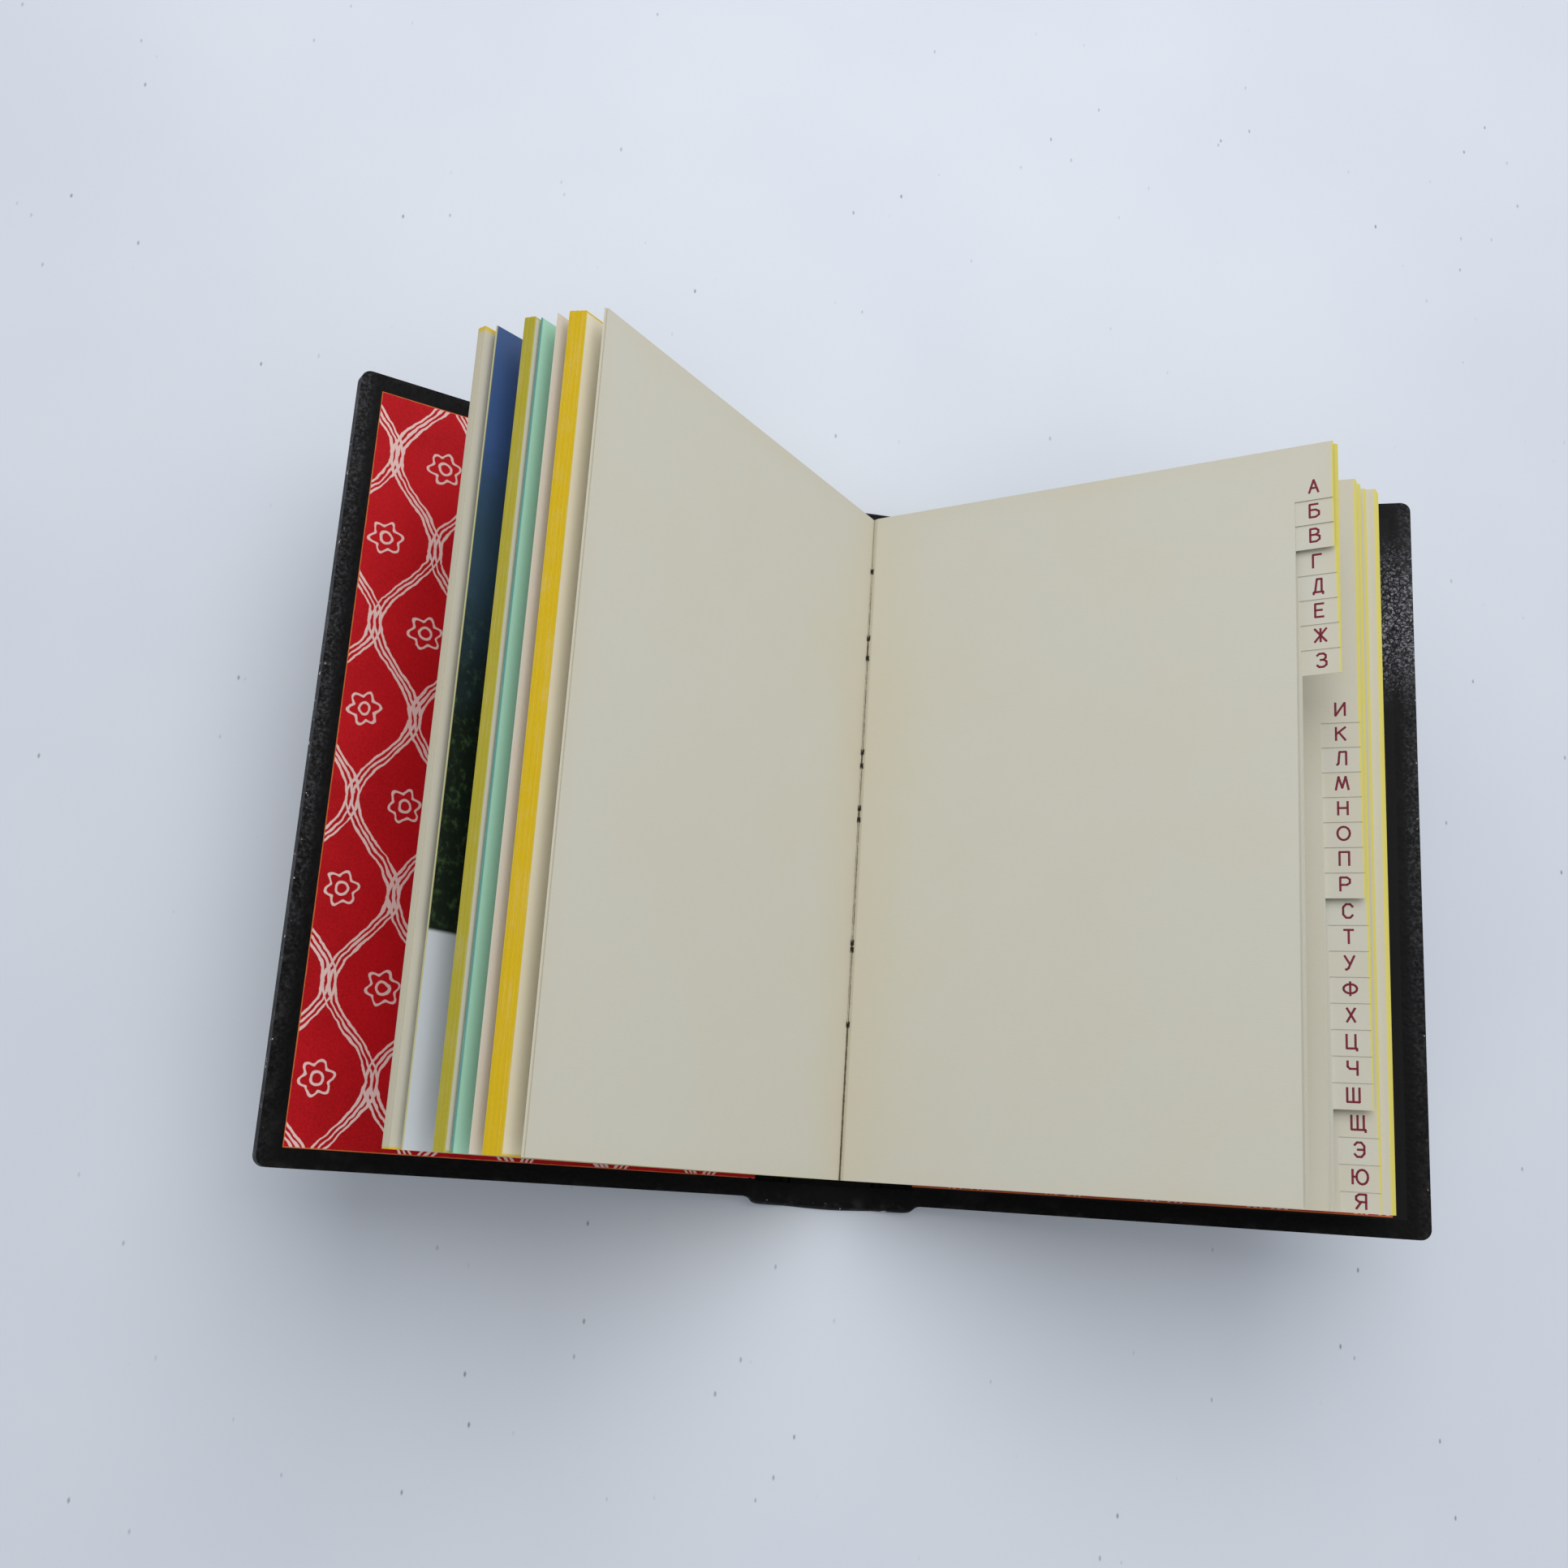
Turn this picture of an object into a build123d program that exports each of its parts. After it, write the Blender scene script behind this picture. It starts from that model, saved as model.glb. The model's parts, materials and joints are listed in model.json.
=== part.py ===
"""Pocket address book with a step-cut thumb index, standing open on its spine.

The case is two thin boards and a spine card under one black leatherette cover.
The leaves bend a little above their sewn folds, so each group of leaves turns
about its own line, and the groups nearer to the gutter bend higher up.
Every piece is drawn as in the closed book, with the spine on the table and the
leaves upright, and is then turned by its lean to the open pose. The leaves beside
the gutter can be turned by hand, and at rest they lie along the leaf behind them.

Frame: X across the book, +Y towards the head, +Z up, origin under the spine.
"""
from build123d import *
from collections import namedtuple
from math import radians, tan
import os

# Leaves, in millimetres
PAGE_HEIGHT = 140.0
PAGE_WIDTH = 102.0
INDEX_LEAF_THICKNESS = 0.11
INDEX_LEAF_GAP = 0.04
SINGLE_LEAF_THICKNESS = 0.14
FLYLEAF_THICKNESS = 0.15
PLATE_THICKNESS = 0.22
DIVIDER_THICKNESS = 0.18
TITLE_SECTION_THICKNESS = 1.75
NOTES_SECTION_THICKNESS = 2.0
DIARY_SECTION_THICKNESS = 2.8
BACK_SECTION_THICKNESS = 2.6
GROUP_GAP = 0.1

# Thumb index: each letter's leaf is full width down to the foot of its tab, and the
# tabs of the last two sections stand back, so the columns line up in the open block
SECTION_LEAF_COUNTS = (8, 8, 8, 4)
LOOSE_LEAF_COUNT = 3
FIRST_TAB_FOOT = 11.2
TAB_WIDTH = 7.0
THIRD_TAB_SETBACK = 1.0
LAST_TAB_SETBACK = 3.2

# Case
HEAD_SQUARE = 3.0
FORE_SQUARE = 1.25
BOARD_THICKNESS = 1.8
SKIN_THICKNESS = 0.25
TURN_IN_FORE = 4.2
TURN_IN_ENDS = 3.4
PASTEDOWN_THICKNESS = 0.3
CORNER_RADIUS = 2.0
COVER_CLEARANCE = 0.25
JOINT_WIDTH = 7.4
JOINT_CLOTH_THICKNESS = 0.7
JOINT_TAPER = 1.6
JOINT_OVERHANG = 1.0
HINGE_GAP = 0.2
ROLL_INSET = 0.05

# Spine
SPINE_CARD_THICKNESS = 1.2
SPINE_TURN_IN = 12.0
CAP_OVERHANG = 1.3
CAP_ROUNDING = 0.6
HOLLOW_GAP = 0.1
LINING_THICKNESS = 0.35
LINING_INSET = 0.3
LINING_END_MARGIN = 8.0
LOWEST_FOLD = 0.375
BEND_GAP = 0.1

# Sewing thread seen in the gutter, with its stitches as shares of the sewn length
THREAD_RADIUS = 0.18
THREAD_LEG_RADIUS = 0.14
THREAD_LEG = 0.45
THREAD_DROP = 0.25
THREAD_CLEARANCE = 0.07
SEWN_HEAD_MARGIN = 12.0
SEWN_TAIL_MARGIN = 31.5
STITCH_SHARES = ((0.0, 0.155), (0.2, 0.415), (0.445, 0.54), (0.565, 0.83), (0.845, 1.0))

# Lean of the covers from upright at rest, in degrees
COVER_LEAN_ANGLE = 67.0
FLAT_LEAN_ANGLE = 90.0

# Fan at rest: how much less each group leans than its outer neighbour, in degrees
TITLE_FAN_ANGLE = 18.4
PLATE_FAN_ANGLE = 0.8
NOTES_FAN_ANGLE = 3.3
DIVIDER_FAN_ANGLE = 0.2
BLANK_LEAF_FAN_ANGLE = 1.9
DIARY_FAN_ANGLE = 1.1
FACING_LEAF_FAN_ANGLE = 1.9
LAST_INDEX_FAN_ANGLE = 6.0
THIRD_INDEX_FAN_ANGLE = 0.5
SECOND_INDEX_FAN_ANGLE = 0.5
FIRST_INDEX_FAN_ANGLE = 9.4
THIRD_LETTER_FAN_ANGLE = 0.4
LOOSE_LEAF_FAN_ANGLE = 0.0

FRONT = -1
BACK = 1

Group = namedtuple("Group", "name thickness fan")
Seat = namedtuple("Seat", "name side x half bend lean")

# Leaves that are turned by hand, each with the leaf it lies on at rest
LIES_ON = {"open": "facing", "letter_2": "letter_3", "letter_1": "letter_3"}


def index_thickness(count):
    """Thickness of a run of index leaves with the air between them."""
    return count * INDEX_LEAF_THICKNESS + (count - 1) * INDEX_LEAF_GAP


# Letters of the index in each section, the first of them lying loose at the gutter
FIRST_COUNT, SECOND_COUNT, THIRD_COUNT, LAST_COUNT = SECTION_LEAF_COUNTS
LETTER_COUNT = sum(SECTION_LEAF_COUNTS)
SECOND_LETTER = FIRST_COUNT + 1
THIRD_LETTER = SECOND_LETTER + SECOND_COUNT
LAST_LETTER = THIRD_LETTER + THIRD_COUNT


# Heights of the case above the table
COVER_THICKNESS = BOARD_THICKNESS + 2 * SKIN_THICKNESS
HINGE_Z = COVER_THICKNESS / 2
ROLL_RADIUS = HINGE_Z - ROLL_INSET
CARD_TOP = SKIN_THICKNESS + SPINE_CARD_THICKNESS
LINING_BOTTOM = CARD_TOP + SKIN_THICKNESS + HOLLOW_GAP
FOLD_BACK_Z = LINING_BOTTOM + LINING_THICKNESS
FORE_EDGE_Z = FOLD_BACK_Z + PAGE_WIDTH
COVER_REACH = FORE_EDGE_Z + FORE_SQUARE - HINGE_Z
COVER_HALF = PAGE_HEIGHT / 2 + HEAD_SQUARE

# Groups of leaves on each side, from the cover to the gutter
FRONT_GROUPS = (
    Group("title", FLYLEAF_THICKNESS + TITLE_SECTION_THICKNESS, TITLE_FAN_ANGLE),
    Group("plate", PLATE_THICKNESS, PLATE_FAN_ANGLE),
    Group("notes", NOTES_SECTION_THICKNESS, NOTES_FAN_ANGLE),
    Group("divider", DIVIDER_THICKNESS, DIVIDER_FAN_ANGLE),
    Group("blank", SINGLE_LEAF_THICKNESS, BLANK_LEAF_FAN_ANGLE),
    Group("diary", DIARY_SECTION_THICKNESS, DIARY_FAN_ANGLE),
    Group("facing", SINGLE_LEAF_THICKNESS, FACING_LEAF_FAN_ANGLE),
    Group("open", SINGLE_LEAF_THICKNESS, LOOSE_LEAF_FAN_ANGLE),
)
LAST_THICKNESS = (
    index_thickness(LAST_COUNT) + INDEX_LEAF_GAP + BACK_SECTION_THICKNESS + FLYLEAF_THICKNESS
)
BACK_GROUPS = (
    Group("last_index", LAST_THICKNESS, LAST_INDEX_FAN_ANGLE),
    Group("third_index", index_thickness(THIRD_COUNT), THIRD_INDEX_FAN_ANGLE),
    Group("second_index", index_thickness(SECOND_COUNT), SECOND_INDEX_FAN_ANGLE),
    Group("first_index", index_thickness(FIRST_COUNT - LOOSE_LEAF_COUNT), FIRST_INDEX_FAN_ANGLE),
    Group("letter_3", INDEX_LEAF_THICKNESS, THIRD_LETTER_FAN_ANGLE),
    Group("letter_2", INDEX_LEAF_THICKNESS, LOOSE_LEAF_FAN_ANGLE),
    Group("letter_1", INDEX_LEAF_THICKNESS, LOOSE_LEAF_FAN_ANGLE),
)


def stack_thickness(groups):
    """Thickness of one side of the block, with the gaps between its groups."""
    return sum(group.thickness for group in groups) + GROUP_GAP * (len(groups) - 1)


GUTTER_GAP = 2 * (THREAD_RADIUS + THREAD_CLEARANCE)
BLOCK_THICKNESS = stack_thickness(FRONT_GROUPS) + GUTTER_GAP + stack_thickness(BACK_GROUPS)
PASTEDOWN_PROUD = PASTEDOWN_THICKNESS - SKIN_THICKNESS
HINGE_X = BLOCK_THICKNESS / 2 + COVER_CLEARANCE + PASTEDOWN_PROUD + COVER_THICKNESS / 2
SPINE_HALF = HINGE_X - ROLL_RADIUS - HINGE_GAP
GUTTER_X = stack_thickness(FRONT_GROUPS) + GUTTER_GAP / 2 - BLOCK_THICKNESS / 2
THICKEST_OUTER_HALF = max(FRONT_GROUPS[0].thickness, BACK_GROUPS[0].thickness) / 2
LOWEST_BEND = FOLD_BACK_Z + LOWEST_FOLD + BEND_GAP + THICKEST_OUTER_HALF
TAB_PITCH = (PAGE_HEIGHT - FIRST_TAB_FOOT) / (LETTER_COUNT - 1)


def seats(groups, side):
    """Line that each group turns about, from the cover to the gutter.

    A group that leans over its outer neighbour bends higher than it by their
    spacing times the tangent of half the neighbour's lean when the case is flat.
    """
    found = {}
    outer_face = BLOCK_THICKNESS / 2
    bend = LOWEST_BEND
    lean = COVER_LEAN_ANGLE
    before = None
    for group in groups:
        half = group.thickness / 2
        if before:
            spacing = half + GROUP_GAP + before.thickness / 2
            flat_lean = lean * FLAT_LEAN_ANGLE / COVER_LEAN_ANGLE
            bend += spacing * tan(radians(flat_lean / 2))
        lean -= group.fan
        found[group.name] = Seat(group.name, side, side * (outer_face - half), half, bend, lean)
        outer_face -= group.thickness + GROUP_GAP
        before = group
    return found


SEATS = seats(FRONT_GROUPS, FRONT) | seats(BACK_GROUPS, BACK)


def lean_about(shape, side, x, z, lean):
    """Turn an upright piece outwards about a line along the spine."""
    return Pos(x, 0, z) * Rot(0, side * lean, 0) * Pos(-x, 0, -z) * shape


def opened(shape, seat):
    """Turn a leaf or section of a group to its open place, along the leaf it lies on."""
    line = SEATS[LIES_ON.get(seat.name, seat.name)]
    return lean_about(shape, line.side, line.x, line.bend, line.lean)


def across(low_x, high_x, profile):
    """Solid between two places across the book, from an outline of (y, z) points."""
    face = make_face(Polyline(*profile, close=True))
    return Pos(low_x, 0, 0) * extrude(Plane.YZ * face, high_x - low_x)


def along_spine(profile, half_length):
    """Solid along the spine, from an outline of (x, z) points."""
    face = make_face(Polyline(*profile, close=True))
    return extrude(Plane.XZ * face, half_length, both=True)


def rod(x, z, radius, half_length):
    """Round rod along the spine."""
    return Pos(x, 0, z) * Rot(90, 0, 0) * Cylinder(radius, 2 * half_length)


def plain_leaf(x, thickness, bend):
    """Upright rectangular leaf from its bend to the fore-edge."""
    height = FORE_EDGE_Z - bend
    return Pos(x, 0, bend + height / 2) * Box(thickness, PAGE_HEIGHT, height)


def index_leaf(letter, x, bend, setback):
    """Upright index leaf, cut back by a tab below the foot of its own letter."""
    head = PAGE_HEIGHT / 2
    tab_foot = (LETTER_COUNT - letter) * TAB_PITCH - head
    tab_edge = FORE_EDGE_Z - setback
    cut_edge = tab_edge - TAB_WIDTH
    outline = [(head, bend), (head, tab_edge)]
    if letter < LETTER_COUNT:
        outline += [(tab_foot, tab_edge), (tab_foot, cut_edge), (-head, cut_edge)]
    else:
        outline += [(-head, tab_edge)]
    outline += [(-head, bend)]
    half = INDEX_LEAF_THICKNESS / 2
    return across(x - half, x + half, outline)


def section(x, half, bend):
    """Upright sewn section with its back rounded about its bend."""
    return plain_leaf(x, 2 * half, bend) + rod(x, bend, half, PAGE_HEIGHT / 2)


def inner_face(seat):
    """Place across the book of a group's face that looks to the gutter."""
    return seat.x - seat.side * seat.half


def index_leaves(seat, first_letter, next_letter, setback=0.0):
    """Open index leaves of a group up to the next one's, the first nearest to the gutter."""
    leaves = {}
    x = inner_face(seat) + seat.side * INDEX_LEAF_THICKNESS / 2
    for letter in range(first_letter, next_letter):
        leaves[f"index_leaf_{letter:02d}"] = opened(index_leaf(letter, x, seat.bend, setback), seat)
        x += seat.side * (INDEX_LEAF_THICKNESS + INDEX_LEAF_GAP)
    return leaves


def single_leaf(seat):
    """Open rectangular leaf that is a group by itself."""
    return opened(plain_leaf(seat.x, 2 * seat.half, seat.bend), seat)


def front_leaves():
    """Leaves and sections between the front cover and the gutter."""
    title = SEATS["title"]
    section_half = TITLE_SECTION_THICKNESS / 2
    section_x = inner_face(title) - section_half
    flyleaf_x = section_x - section_half - FLYLEAF_THICKNESS / 2
    notes = SEATS["notes"]
    diary = SEATS["diary"]
    return {
        "front_flyleaf": opened(plain_leaf(flyleaf_x, FLYLEAF_THICKNESS, title.bend), title),
        "title_section": opened(section(section_x, section_half, title.bend), title),
        "colour_plate": single_leaf(SEATS["plate"]),
        "notes_section": opened(section(notes.x, notes.half, notes.bend), notes),
        "green_divider": single_leaf(SEATS["divider"]),
        "blank_leaf": single_leaf(SEATS["blank"]),
        "diary_section": opened(section(diary.x, diary.half, diary.bend), diary),
        "facing_leaf": single_leaf(SEATS["facing"]),
        "open_leaf": single_leaf(SEATS["open"]),
    }


def back_leaves():
    """Index leaves and the section between the gutter and the back cover."""
    leaves = {}
    for letter in range(1, LOOSE_LEAF_COUNT + 1):
        leaves |= index_leaves(SEATS[f"letter_{letter}"], letter, letter + 1)
    last = SEATS["last_index"]
    leaves |= index_leaves(SEATS["first_index"], LOOSE_LEAF_COUNT + 1, SECOND_LETTER)
    leaves |= index_leaves(SEATS["second_index"], SECOND_LETTER, THIRD_LETTER)
    leaves |= index_leaves(SEATS["third_index"], THIRD_LETTER, LAST_LETTER, THIRD_TAB_SETBACK)
    leaves |= index_leaves(last, LAST_LETTER, LETTER_COUNT + 1, LAST_TAB_SETBACK)
    section_half = BACK_SECTION_THICKNESS / 2
    section_x = inner_face(last) + index_thickness(LAST_COUNT) + INDEX_LEAF_GAP + section_half
    flyleaf_x = section_x + section_half + FLYLEAF_THICKNESS / 2
    leaves["back_section"] = opened(section(section_x, section_half, last.bend), last)
    leaves["back_flyleaf"] = opened(plain_leaf(flyleaf_x, FLYLEAF_THICKNESS, last.bend), last)
    return leaves


def rounded_sheet(thickness, half_width, low, high, radius):
    """Upright sheet along the book with its two fore-edge corners rounded."""
    sheet = Pos(0, 0, (low + high) / 2) * Box(thickness, 2 * half_width, high - low)
    corners = sheet.edges().filter_by(Axis.X).group_by(Axis.Z)[-1]
    return fillet(corners, radius)


def cover_pieces():
    """Board, leatherette and pastedown of the back cover, upright, hinge at the origin."""
    board_low = JOINT_WIDTH
    board = rounded_sheet(
        BOARD_THICKNESS,
        COVER_HALF - SKIN_THICKNESS,
        board_low,
        COVER_REACH - SKIN_THICKNESS,
        CORNER_RADIUS - SKIN_THICKNESS,
    )
    wrapped = rounded_sheet(COVER_THICKNESS, COVER_HALF, board_low, COVER_REACH, CORNER_RADIUS)

    cloth = JOINT_CLOTH_THICKNESS / 2
    face = COVER_THICKNESS / 2
    taper_low = JOINT_WIDTH - JOINT_TAPER
    shoulder = along_spine(
        [(-cloth, taper_low), (cloth, taper_low), (face, JOINT_WIDTH), (-face, JOINT_WIDTH)], COVER_HALF
    )
    strip_outline = [(-cloth, 0), (cloth, 0), (cloth, taper_low), (-cloth, taper_low)]
    strip = along_spine(strip_outline, COVER_HALF + JOINT_OVERHANG)
    roll = rod(0, 0, ROLL_RADIUS, COVER_HALF + JOINT_OVERHANG)

    window_high = COVER_REACH - TURN_IN_FORE
    window_middle = (board_low + window_high) / 2
    window_face = SKIN_THICKNESS - face
    pastedown = Pos(window_face - PASTEDOWN_THICKNESS / 2, 0, window_middle) * Box(
        PASTEDOWN_THICKNESS, 2 * (COVER_HALF - TURN_IN_ENDS), window_high - board_low
    )
    skin = wrapped + shoulder + strip + roll - board - pastedown
    return {"board": board, "cover_skin": skin, "pastedown": pastedown}


def covers():
    """Both covers, turned open about their hinge lines."""
    pieces = {}
    for name, shape in cover_pieces().items():
        back = Pos(HINGE_X, 0, HINGE_Z) * shape
        front = mirror(back, about=Plane.YZ)
        pieces[f"front_{name}"] = lean_about(front, FRONT, -HINGE_X, HINGE_Z, COVER_LEAN_ANGLE)
        pieces[f"back_{name}"] = lean_about(back, BACK, HINGE_X, HINGE_Z, COVER_LEAN_ANGLE)
    return pieces


def spine_pieces():
    """Card, leatherette with its rolled caps, and the lining of the sewn folds."""
    card_half = SPINE_HALF - SKIN_THICKNESS
    card_middle = SKIN_THICKNESS + SPINE_CARD_THICKNESS / 2
    card = Pos(0, 0, card_middle) * Box(2 * card_half, 2 * COVER_HALF, SPINE_CARD_THICKNESS)

    skin_top = CARD_TOP + SKIN_THICKNESS
    cap_half = COVER_HALF + CAP_OVERHANG
    sleeve = Pos(0, 0, skin_top / 2) * Box(2 * SPINE_HALF, 2 * cap_half, skin_top)
    cap_edges = sleeve.edges().filter_by(Axis.X)
    sleeve = fillet(cap_edges, CAP_ROUNDING)
    bare_half = COVER_HALF - SPINE_TURN_IN
    bare_card = Pos(0, 0, CARD_TOP + SKIN_THICKNESS / 2) * Box(
        2 * SPINE_HALF, 2 * bare_half, SKIN_THICKNESS
    )
    skin = sleeve - card - bare_card

    lining_middle = LINING_BOTTOM + LINING_THICKNESS / 2
    lining = Pos(0, 0, lining_middle) * Box(
        BLOCK_THICKNESS - 2 * LINING_INSET, PAGE_HEIGHT - 2 * LINING_END_MARGIN, LINING_THICKNESS
    )
    return {"spine_card": card, "spine_skin": skin, "spine_lining": lining}


def thread_height():
    """Height of the thread, just under the bends of the two leaves beside the gutter."""
    return min(SEATS["open"].bend, SEATS["letter_1"].bend) - THREAD_DROP


def fold(x, thickness, top):
    """Sewn fold that stands on the lining under a group of leaves."""
    height = top - FOLD_BACK_Z
    return Pos(x, 0, FOLD_BACK_Z + height / 2) * Box(thickness, PAGE_HEIGHT, height)


def section_folds():
    """Sewn folds of all the groups, and the fold under the thread."""
    folds = []
    for seat in SEATS.values():
        folds.append(fold(seat.x, 2 * seat.half, seat.bend - seat.half - BEND_GAP))
    folds.append(fold(GUTTER_X, 2 * THREAD_RADIUS, thread_height() - THREAD_LEG))
    return Compound(folds)


def stitch(start, end):
    """Stitch along the gutter, with a leg at each end down to its fold."""
    middle = (start + end) / 2
    top = thread_height()
    run = Pos(0, middle, 0) * rod(GUTTER_X, top, THREAD_RADIUS, (end - start) / 2)
    leg_middle = top - THREAD_LEG / 2
    for y in (start + THREAD_RADIUS, end - THREAD_RADIUS):
        run += Pos(GUTTER_X, y, leg_middle) * Cylinder(THREAD_LEG_RADIUS, THREAD_LEG)
    return run


def sewing_thread():
    """Stitches in the gutter, counted from the head."""
    first = PAGE_HEIGHT / 2 - SEWN_HEAD_MARGIN
    sewn = PAGE_HEIGHT - SEWN_HEAD_MARGIN - SEWN_TAIL_MARGIN
    return Compound([stitch(first - sewn * low, first - sewn * high) for high, low in STITCH_SHARES])


def address_book():
    """All pieces of the book by name, in the open pose."""
    pieces = spine_pieces()
    pieces["section_folds"] = section_folds()
    pieces["sewing_thread"] = sewing_thread()
    pieces |= covers()
    pieces |= front_leaves()
    pieces |= back_leaves()
    return pieces


os.makedirs("parts", exist_ok=True)
for node, piece in address_book().items():
    export_step(piece, f"parts/{node}.step")
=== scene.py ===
"""Looks of an open pocket address book with a thumb index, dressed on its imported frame."""

import json
import logging
import math
from dataclasses import dataclass
from enum import Enum

import bmesh
import bpy
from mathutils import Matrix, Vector

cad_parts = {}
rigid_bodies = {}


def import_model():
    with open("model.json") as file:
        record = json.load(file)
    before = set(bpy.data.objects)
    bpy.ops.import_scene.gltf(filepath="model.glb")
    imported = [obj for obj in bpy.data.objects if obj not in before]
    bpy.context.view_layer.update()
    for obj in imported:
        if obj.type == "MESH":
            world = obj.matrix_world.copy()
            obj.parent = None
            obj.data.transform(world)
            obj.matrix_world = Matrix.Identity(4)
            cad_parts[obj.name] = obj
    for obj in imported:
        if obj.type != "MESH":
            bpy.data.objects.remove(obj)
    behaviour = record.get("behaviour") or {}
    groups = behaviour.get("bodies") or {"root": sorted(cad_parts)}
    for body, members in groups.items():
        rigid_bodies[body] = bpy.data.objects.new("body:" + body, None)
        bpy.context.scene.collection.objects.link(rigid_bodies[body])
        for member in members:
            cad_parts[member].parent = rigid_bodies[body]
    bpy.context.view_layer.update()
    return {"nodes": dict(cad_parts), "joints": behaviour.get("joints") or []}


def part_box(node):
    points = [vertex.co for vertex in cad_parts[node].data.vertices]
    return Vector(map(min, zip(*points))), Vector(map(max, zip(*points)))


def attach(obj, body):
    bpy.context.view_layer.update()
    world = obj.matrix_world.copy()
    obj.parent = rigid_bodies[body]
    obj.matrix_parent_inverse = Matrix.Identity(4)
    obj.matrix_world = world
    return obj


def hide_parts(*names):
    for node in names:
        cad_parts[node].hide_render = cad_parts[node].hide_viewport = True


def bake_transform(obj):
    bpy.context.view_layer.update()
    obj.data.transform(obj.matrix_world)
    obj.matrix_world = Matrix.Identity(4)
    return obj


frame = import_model()

MM = 0.001
PAGE_HALF = 70.0
PAGE_FOOT = -68.9
COVER_RISE = 23.0
COVER_HINGE = 9.465
HINGE_HEIGHT = 1.15
DYE_DEPTH = 0.55
SMOOTH_ANGLE = math.radians(35)
BEND_ROUNDS = 60
log = logging.getLogger("address_book")

Object = bpy.types.Object
Material = bpy.types.Material
Curve = bpy.types.Curve
Tree = bpy.types.NodeTree
Node = bpy.types.Node
Socket = bpy.types.NodeSocket
Colour = tuple[float, float, float, float]
Span = tuple[float, float]


class Side(Enum):
    """The half of the open book that a leaf leans to."""

    LEFT = -1
    RIGHT = 1


class Dye(Enum):
    """How leaves are dyed: share at the fore-edge, share at head and tail, depth at the head in mm."""

    PLAIN = (0.0, 0.0, DYE_DEPTH)
    HEAD_TIPS = (0.05, 1.0, 1.5)
    OLIVE = (0.98, 0.95, DYE_DEPTH)
    BRIGHT = (1.0, 1.0, DYE_DEPTH)
    THIN = (0.9, 0.0, DYE_DEPTH)


def paint(red: int, green: int, blue: int) -> Colour:
    """Turns a colour as a screen shows it into a linear colour.

    Args:
        red: Red, 0 to 255.
        green: Green, 0 to 255.
        blue: Blue, 0 to 255.

    Returns:
        The linear colour with full cover.
    """
    shares = []
    for level in (red, green, blue):
        share = level / 255
        shares.append(share / 12.92 if share <= 0.04045 else ((share + 0.055) / 1.055) ** 2.4)
    return (shares[0], shares[1], shares[2], 1.0)


# Light grey of the painted sheen on black leatherette, standing in for a reflection of the lamp.
PAINTED_SHEEN = paint(150, 152, 160)


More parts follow.
